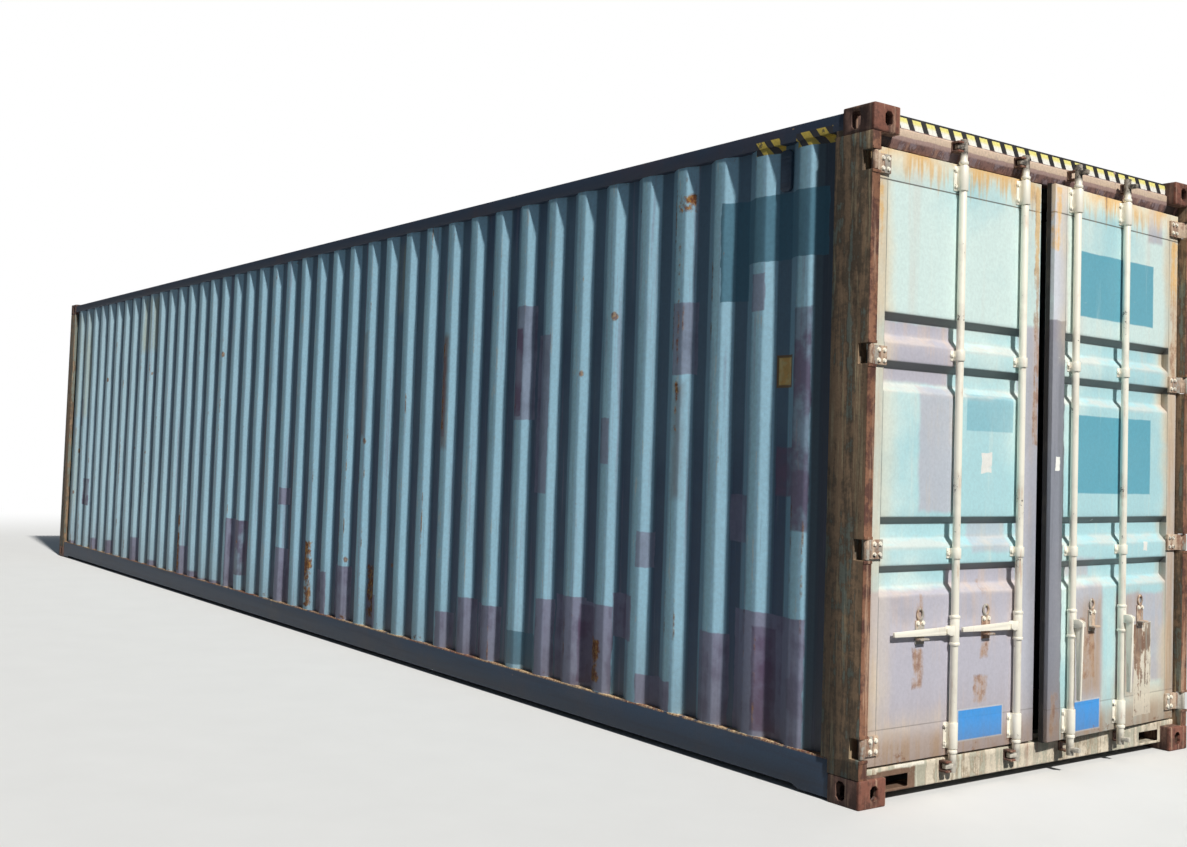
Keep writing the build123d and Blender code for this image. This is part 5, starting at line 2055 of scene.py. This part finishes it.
RIGHT_COAT = DoorPaint(
    "right leaf paint", ajar=AJAR,
    repairs=patches(
        (0.19, 0.47, 0.16, 0.86, 0.85), (0.60, 1.06, 0.36, 0.80, 0.85),
        (0.86, 1.0, 2.56, 2.75, 0.8), (1.08, 1.18, 0.2, 1.84, 0.8),
        (0.19, 0.40, 0.90, 0.99, 0.7), (0.0, 0.118, 2.0, 2.73, 0.8),
    ),
    grey_repairs=patches((-0.01, 0.112, -0.1, 2.09),),
    fields=patches((0.205, 0.915, 2.130, 2.440), (0.200, 0.905, 1.290, 1.660)),
    labels=patches((0.205, 0.455, 0.180, 0.314),),
    blotches=patches((0.26, 0.42, 0.40, 0.72), (0.01, 0.12, 0.16, 0.40, 0.9),
              (0.66, 0.74, 0.44, 0.66, 0.9)),
    stains=patches((0.24, 0.46, 0.34, 0.78), (1.06, 1.16, 0.15, 2.70), (0.6, 0.80, 0.3, 0.8),
            (0.0, 1.16, 0.10, 0.26)),
    creams=patches((0.0, 1.17, 2.66, 2.74, 0.9), (1.04, 1.17, 0.15, 2.7, 0.9),
            (0.60, 1.17, 0.10, 0.36, 0.8), (0.06, 0.13, 1.9, 2.74, 0.8)),
    strips=patches((1.08, 1.17, 1.80, 2.60), (0.0, 0.08, 2.40, 2.73)),
    stripped=patches((0.765, 0.940, 0.190, 0.66),),
    whites=patches((0.84, 0.89, 1.0, 1.05), (0.04, 0.085, 1.39, 1.46)),
)


@dataclass
class LeafFixings:
    """Bolt heads on one leaf's straps, hinges and catches, and the sleeves of its rods."""

    side: Side
    swing: Matrix
    rods: tuple[float, float] = (0.6103, 0.16525)
    rod_x: float = 6.071
    strap_face: float = 6.052
    hinge_face: float = 6.060
    catch_face: float = 6.054
    flange: float = 0.0305
    guides: tuple[float, ...] = (1.882, 1.022)
    brackets: tuple[float, ...] = (2.665, 0.240)
    hinges: tuple[float, ...] = (0.241, 1.0467, 1.8523, 2.658)
    catch_reach: float = 0.20605
    catch_bolt: float = 0.729
    sleeve_level: float = 0.690
    eye_level: float = 0.766
    eye_face: float = 6.0525

    def places(self) -> list[Point]:
        """Where the bolt heads sit on the closed leaf, with Y as a distance.

        Returns:
            A point for each bolt head.
        """
        spots = []
        for rod in self.rods:
            for across in (rod - self.flange, rod + self.flange):
                spots += [(self.strap_face, across, level) for level in self.guides]
                for level in self.brackets:
                    spots += [(self.strap_face, across, level + up) for up in (-0.036, 0.036)]
            spots += [
                (self.catch_face, rod + self.catch_reach + across, self.catch_bolt)
                for across in (-0.017, 0.017)
            ]
        for level in self.hinges:
            spots += [
                (self.hinge_face, across, level + up)
                for across in (1.087, 1.121) for up in (-0.022, 0.022)
            ]
        return spots

    def build(self, gear: bpy.types.Material, worn: bpy.types.Material,
              iron: bpy.types.Material) -> None:
        """Model and dress the bolts, the eyes of the catches and the sleeves.

        Args:
            gear: The finish of the rods.
            worn: The finish of the bolts.
            iron: The finish of the eyes.
        """
        name = self.side.value
        spots = [
            self.swing @ Matrix.Translation((x, self.side.sign * y, z))
            for x, y, z in self.places()
        ]
        bolts = join(f"{name}_leaf_bolts", repeated(self._bolt(), spots))
        dress(bolts, worn, f"{name}_door", "locking_gear")
        spots = [
            self.swing @ Matrix.Translation(
                (self.eye_face, self.side.sign * (rod + self.catch_reach), self.eye_level)
            ) for rod in self.rods
        ]
        eyes = join(f"{name}_catch_eyes", repeated(self._eye(), spots))
        dress(eyes, iron, f"{name}_door", "locking_gear")
        for rod, place in zip(("outer", "inner"), self.rods):
            sleeve = self._sleeve(f"{name}_sleeves_{rod}")
            sleeve.matrix_world = self.swing @ Matrix.Translation(
                (self.rod_x, self.side.sign * place, 0.0)
            )
            settle(sleeve)
            dress(sleeve, gear, f"{name}_rod_{rod}", "locking_gear")

    @staticmethod
    def _bolt() -> bpy.types.Object:
        """A bolt head on its washer, looking along X from the origin.

        Returns:
            The bolt head.
        """
        piece = round_piece("bolt", 0.0105, (0.001, 0.0, 0.0), 0.003, axis="X", sides=10)
        only(piece)
        for face in piece.data.polygons:
            face.select = face.normal.x > 0.9
        edit("FACE")
        bpy.ops.mesh.inset(thickness=0.0028)
        bpy.ops.mesh.extrude_region_move(TRANSFORM_OT_translate={"value": (0.0045, 0.0, 0.0)})
        bpy.ops.transform.resize(value=(1.0, 0.72, 0.72), center_override=(0.0, 0.0, 0.0))
        leave()
        smooth(30.0)
        return piece

    @staticmethod
    def _eye() -> bpy.types.Object:
        """The flat oval eye above a catch, with the tab that joins it to the catch.

        Returns:
            The eye.
        """
        let_go()
        bpy.ops.mesh.primitive_torus_add(
            major_radius=0.018, minor_radius=0.0055, major_segments=20, minor_segments=8,
            rotation=(0.0, math.pi / 2, 0.0),
        )
        ring = settle(bpy.context.object)
        edit(everything=True)
        bpy.ops.transform.resize(value=(0.8, 1.0, 1.2), center_override=(0.0, 0.0, 0.0))
        leave()
        smooth(60.0)
        tab = soften(box_piece("tab", (-0.004, -0.012, -0.032), (0.0025, 0.012, -0.021)), 0.001)
        return join("eye", [ring, tab])

    def _sleeve(self, name: str) -> bpy.types.Object:
        """The handle's sleeve with a bead at each end, and collars beside the brackets.

        Args:
            name: The new piece's name.

        Returns:
            The sleeve.
        """
        parts = []
        spans = [
            (self.sleeve_level, 0.116, 0.0205), (self.sleeve_level + 0.058, 0.012, 0.0232),
            (self.sleeve_level - 0.058, 0.012, 0.0232),
            (2.734, 0.014, 0.0215), (0.171, 0.014, 0.0215),
        ]
        for number, (level, height, radius) in enumerate(spans):
            part = round_piece(f"{name}_{number}", radius, (0.0, 0.0, level), height, sides=20)
            parts.append(soften(part, 0.0025))
        return join(name, parts)


@dataclass
class Louvres:
    """The sloping slats on the two ventilators."""

    along: float = 5.560
    face: float = 1.195
    low: float = 2.618
    step: float = 0.019
    count: int = 8
    width: float = 0.048

    def build(self, material: bpy.types.Material) -> None:
        """Model one slat, repeat it on both sides and dress each set.

        Args:
            material: The ventilators' finish.
        """
        for side in Side:
            half = self.width / 2
            slat = box_piece("slat", (-half, -0.001, -0.005), (half, 0.006, 0.005))
            only(slat)
            for face in slat.data.polygons:
                face.select = face.normal.z > 0.9
            edit("FACE")
            bpy.ops.transform.resize(value=(1.0, 0.2, 1.0), center_override=(0.0, -0.001, 0.0))
            leave()
            soften(slat, 0.001, 1)
            turn = Matrix.Rotation(math.pi if side is Side.LEFT else 0.0, 4, "Z")
            spots = [
                Matrix.Translation(
                    (self.along, side.sign * self.face, self.low + number * self.step)
                ) @ turn
                for number in range(self.count)
            ]
            slats = join(f"ventilator_slats_{side.value}", repeated(slat, spots))
            dress(slats, material, "container", "vent_plastic")


@dataclass
class Studio:
    """The floor, the lamps, the world and the camera."""

    eye: Point = (9.767, -5.3134, 1.4148)
    lens: float = 39.93
    shift: tuple[float, float] = (0.0127, -0.0306)
    yaw: float = -0.6228
    pitch: float = 0.0477
    roll: float = -0.0337
    sun: Point = (0.72, -0.098, 0.68)
    sun_power: float = 3.95
    sun_width: float = 2.5
    sun_colour: Colour = (1.0, 0.975, 0.93)
    floor_width: float = 160.0
    sensor: float = 36.0
    sight: float = 200.0
    sky: Colour = (0.68, 0.83, 1.0)
    sky_power: float = 0.125

    def build(self) -> None:
        """Set up the whole stage."""
        self._floor()
        self._lights()
        self._camera()

    def _floor(self) -> None:
        """A wide pale floor."""
        let_go()
        bpy.ops.mesh.primitive_plane_add(size=self.floor_width, location=(0.0, 0.0, 0.0))
        floor = bpy.context.object
        floor.name = "studio_floor"
        settle(floor)
        floor.data.materials.append(StageFinish().build())

    def _lights(self) -> None:
        """One soft key lamp and a dim even world that the camera sees as white."""
        lamp = bpy.data.lights.new("key", "SUN")
        lamp.energy = self.sun_power
        lamp.angle = math.radians(self.sun_width)
        lamp.color = self.sun_colour
        key = bpy.data.objects.new("key", lamp)
        bpy.context.collection.objects.link(key)
        key.rotation_euler = Vector(self.sun).to_track_quat("Z", "Y").to_euler()
        world = bpy.data.worlds.new("studio")
        bpy.context.scene.world = world
        world.use_nodes = True
        nodes = Nodes(world.node_tree)
        light = nodes.node("ShaderNodeBackground", {}, {0: self.sky, 1: self.sky_power})
        white = nodes.node("ShaderNodeBackground", {}, {0: WHITE, 1: 1.0})
        seen = nodes.node("ShaderNodeLightPath").outputs["Is Camera Ray"]
        ways = {0: seen, 1: light.outputs[0], 2: white.outputs[0]}
        both = nodes.node("ShaderNodeMixShader", {}, ways)
        nodes.node("ShaderNodeOutputWorld", {}, {0: both.outputs[0]})
        bpy.context.scene.view_settings.view_transform = "Standard"

    def _camera(self) -> None:
        """The camera at the photograph's place and angle."""
        data = bpy.data.cameras.new("camera")
        data.lens = self.lens
        data.sensor_width = self.sensor
        data.shift_x, data.shift_y = self.shift
        data.clip_end = self.sight
        camera = bpy.data.objects.new("camera", data)
        bpy.context.collection.objects.link(camera)
        turn = (
            Matrix.Rotation(math.pi / 2, 3, "Z") @ Matrix.Rotation(self.yaw, 3, "Z")
            @ Matrix.Rotation(self.pitch, 3, "X") @ Matrix.Rotation(self.roll, 3, "Y")
        )
        right, ahead, up = (turn.col[n] for n in range(3))
        view = Matrix((right, up, -ahead)).transposed().to_4x4()
        camera.matrix_world = Matrix.Translation(self.eye) @ view
        bpy.context.scene.camera = camera


def main() -> None:
    """Build every sub-assembly in order."""
    logging.basicConfig(level=logging.INFO, format="%(message)s")
    Studio().build()
    Walls().build()
    Frame().build()
    gear = GearPaint("lock gear paint").build()
    seal = SealRubber().build()
    iron = RustedSteel(
        "hinge steel", rust=paint(206, 182, 158), dark=paint(142, 106, 86),
        light=paint(234, 224, 204), remnant=paint(198, 208, 200), cover=0.7,
    ).build()
    bolts = GearPaint("bolt paint", wear=1.1, ends=(0.0, 3.0)).build()
    leaves = ((Leaf(Side.LEFT), LEFT_COAT), (Leaf(Side.RIGHT, ajar=AJAR), RIGHT_COAT))
    for leaf, coat in leaves:
        leaf.build(coat, gear, seal, iron)
        LeafFixings(leaf.side, leaf.swing).build(gear, bolts, iron)


if __name__ == "__main__":
    main()
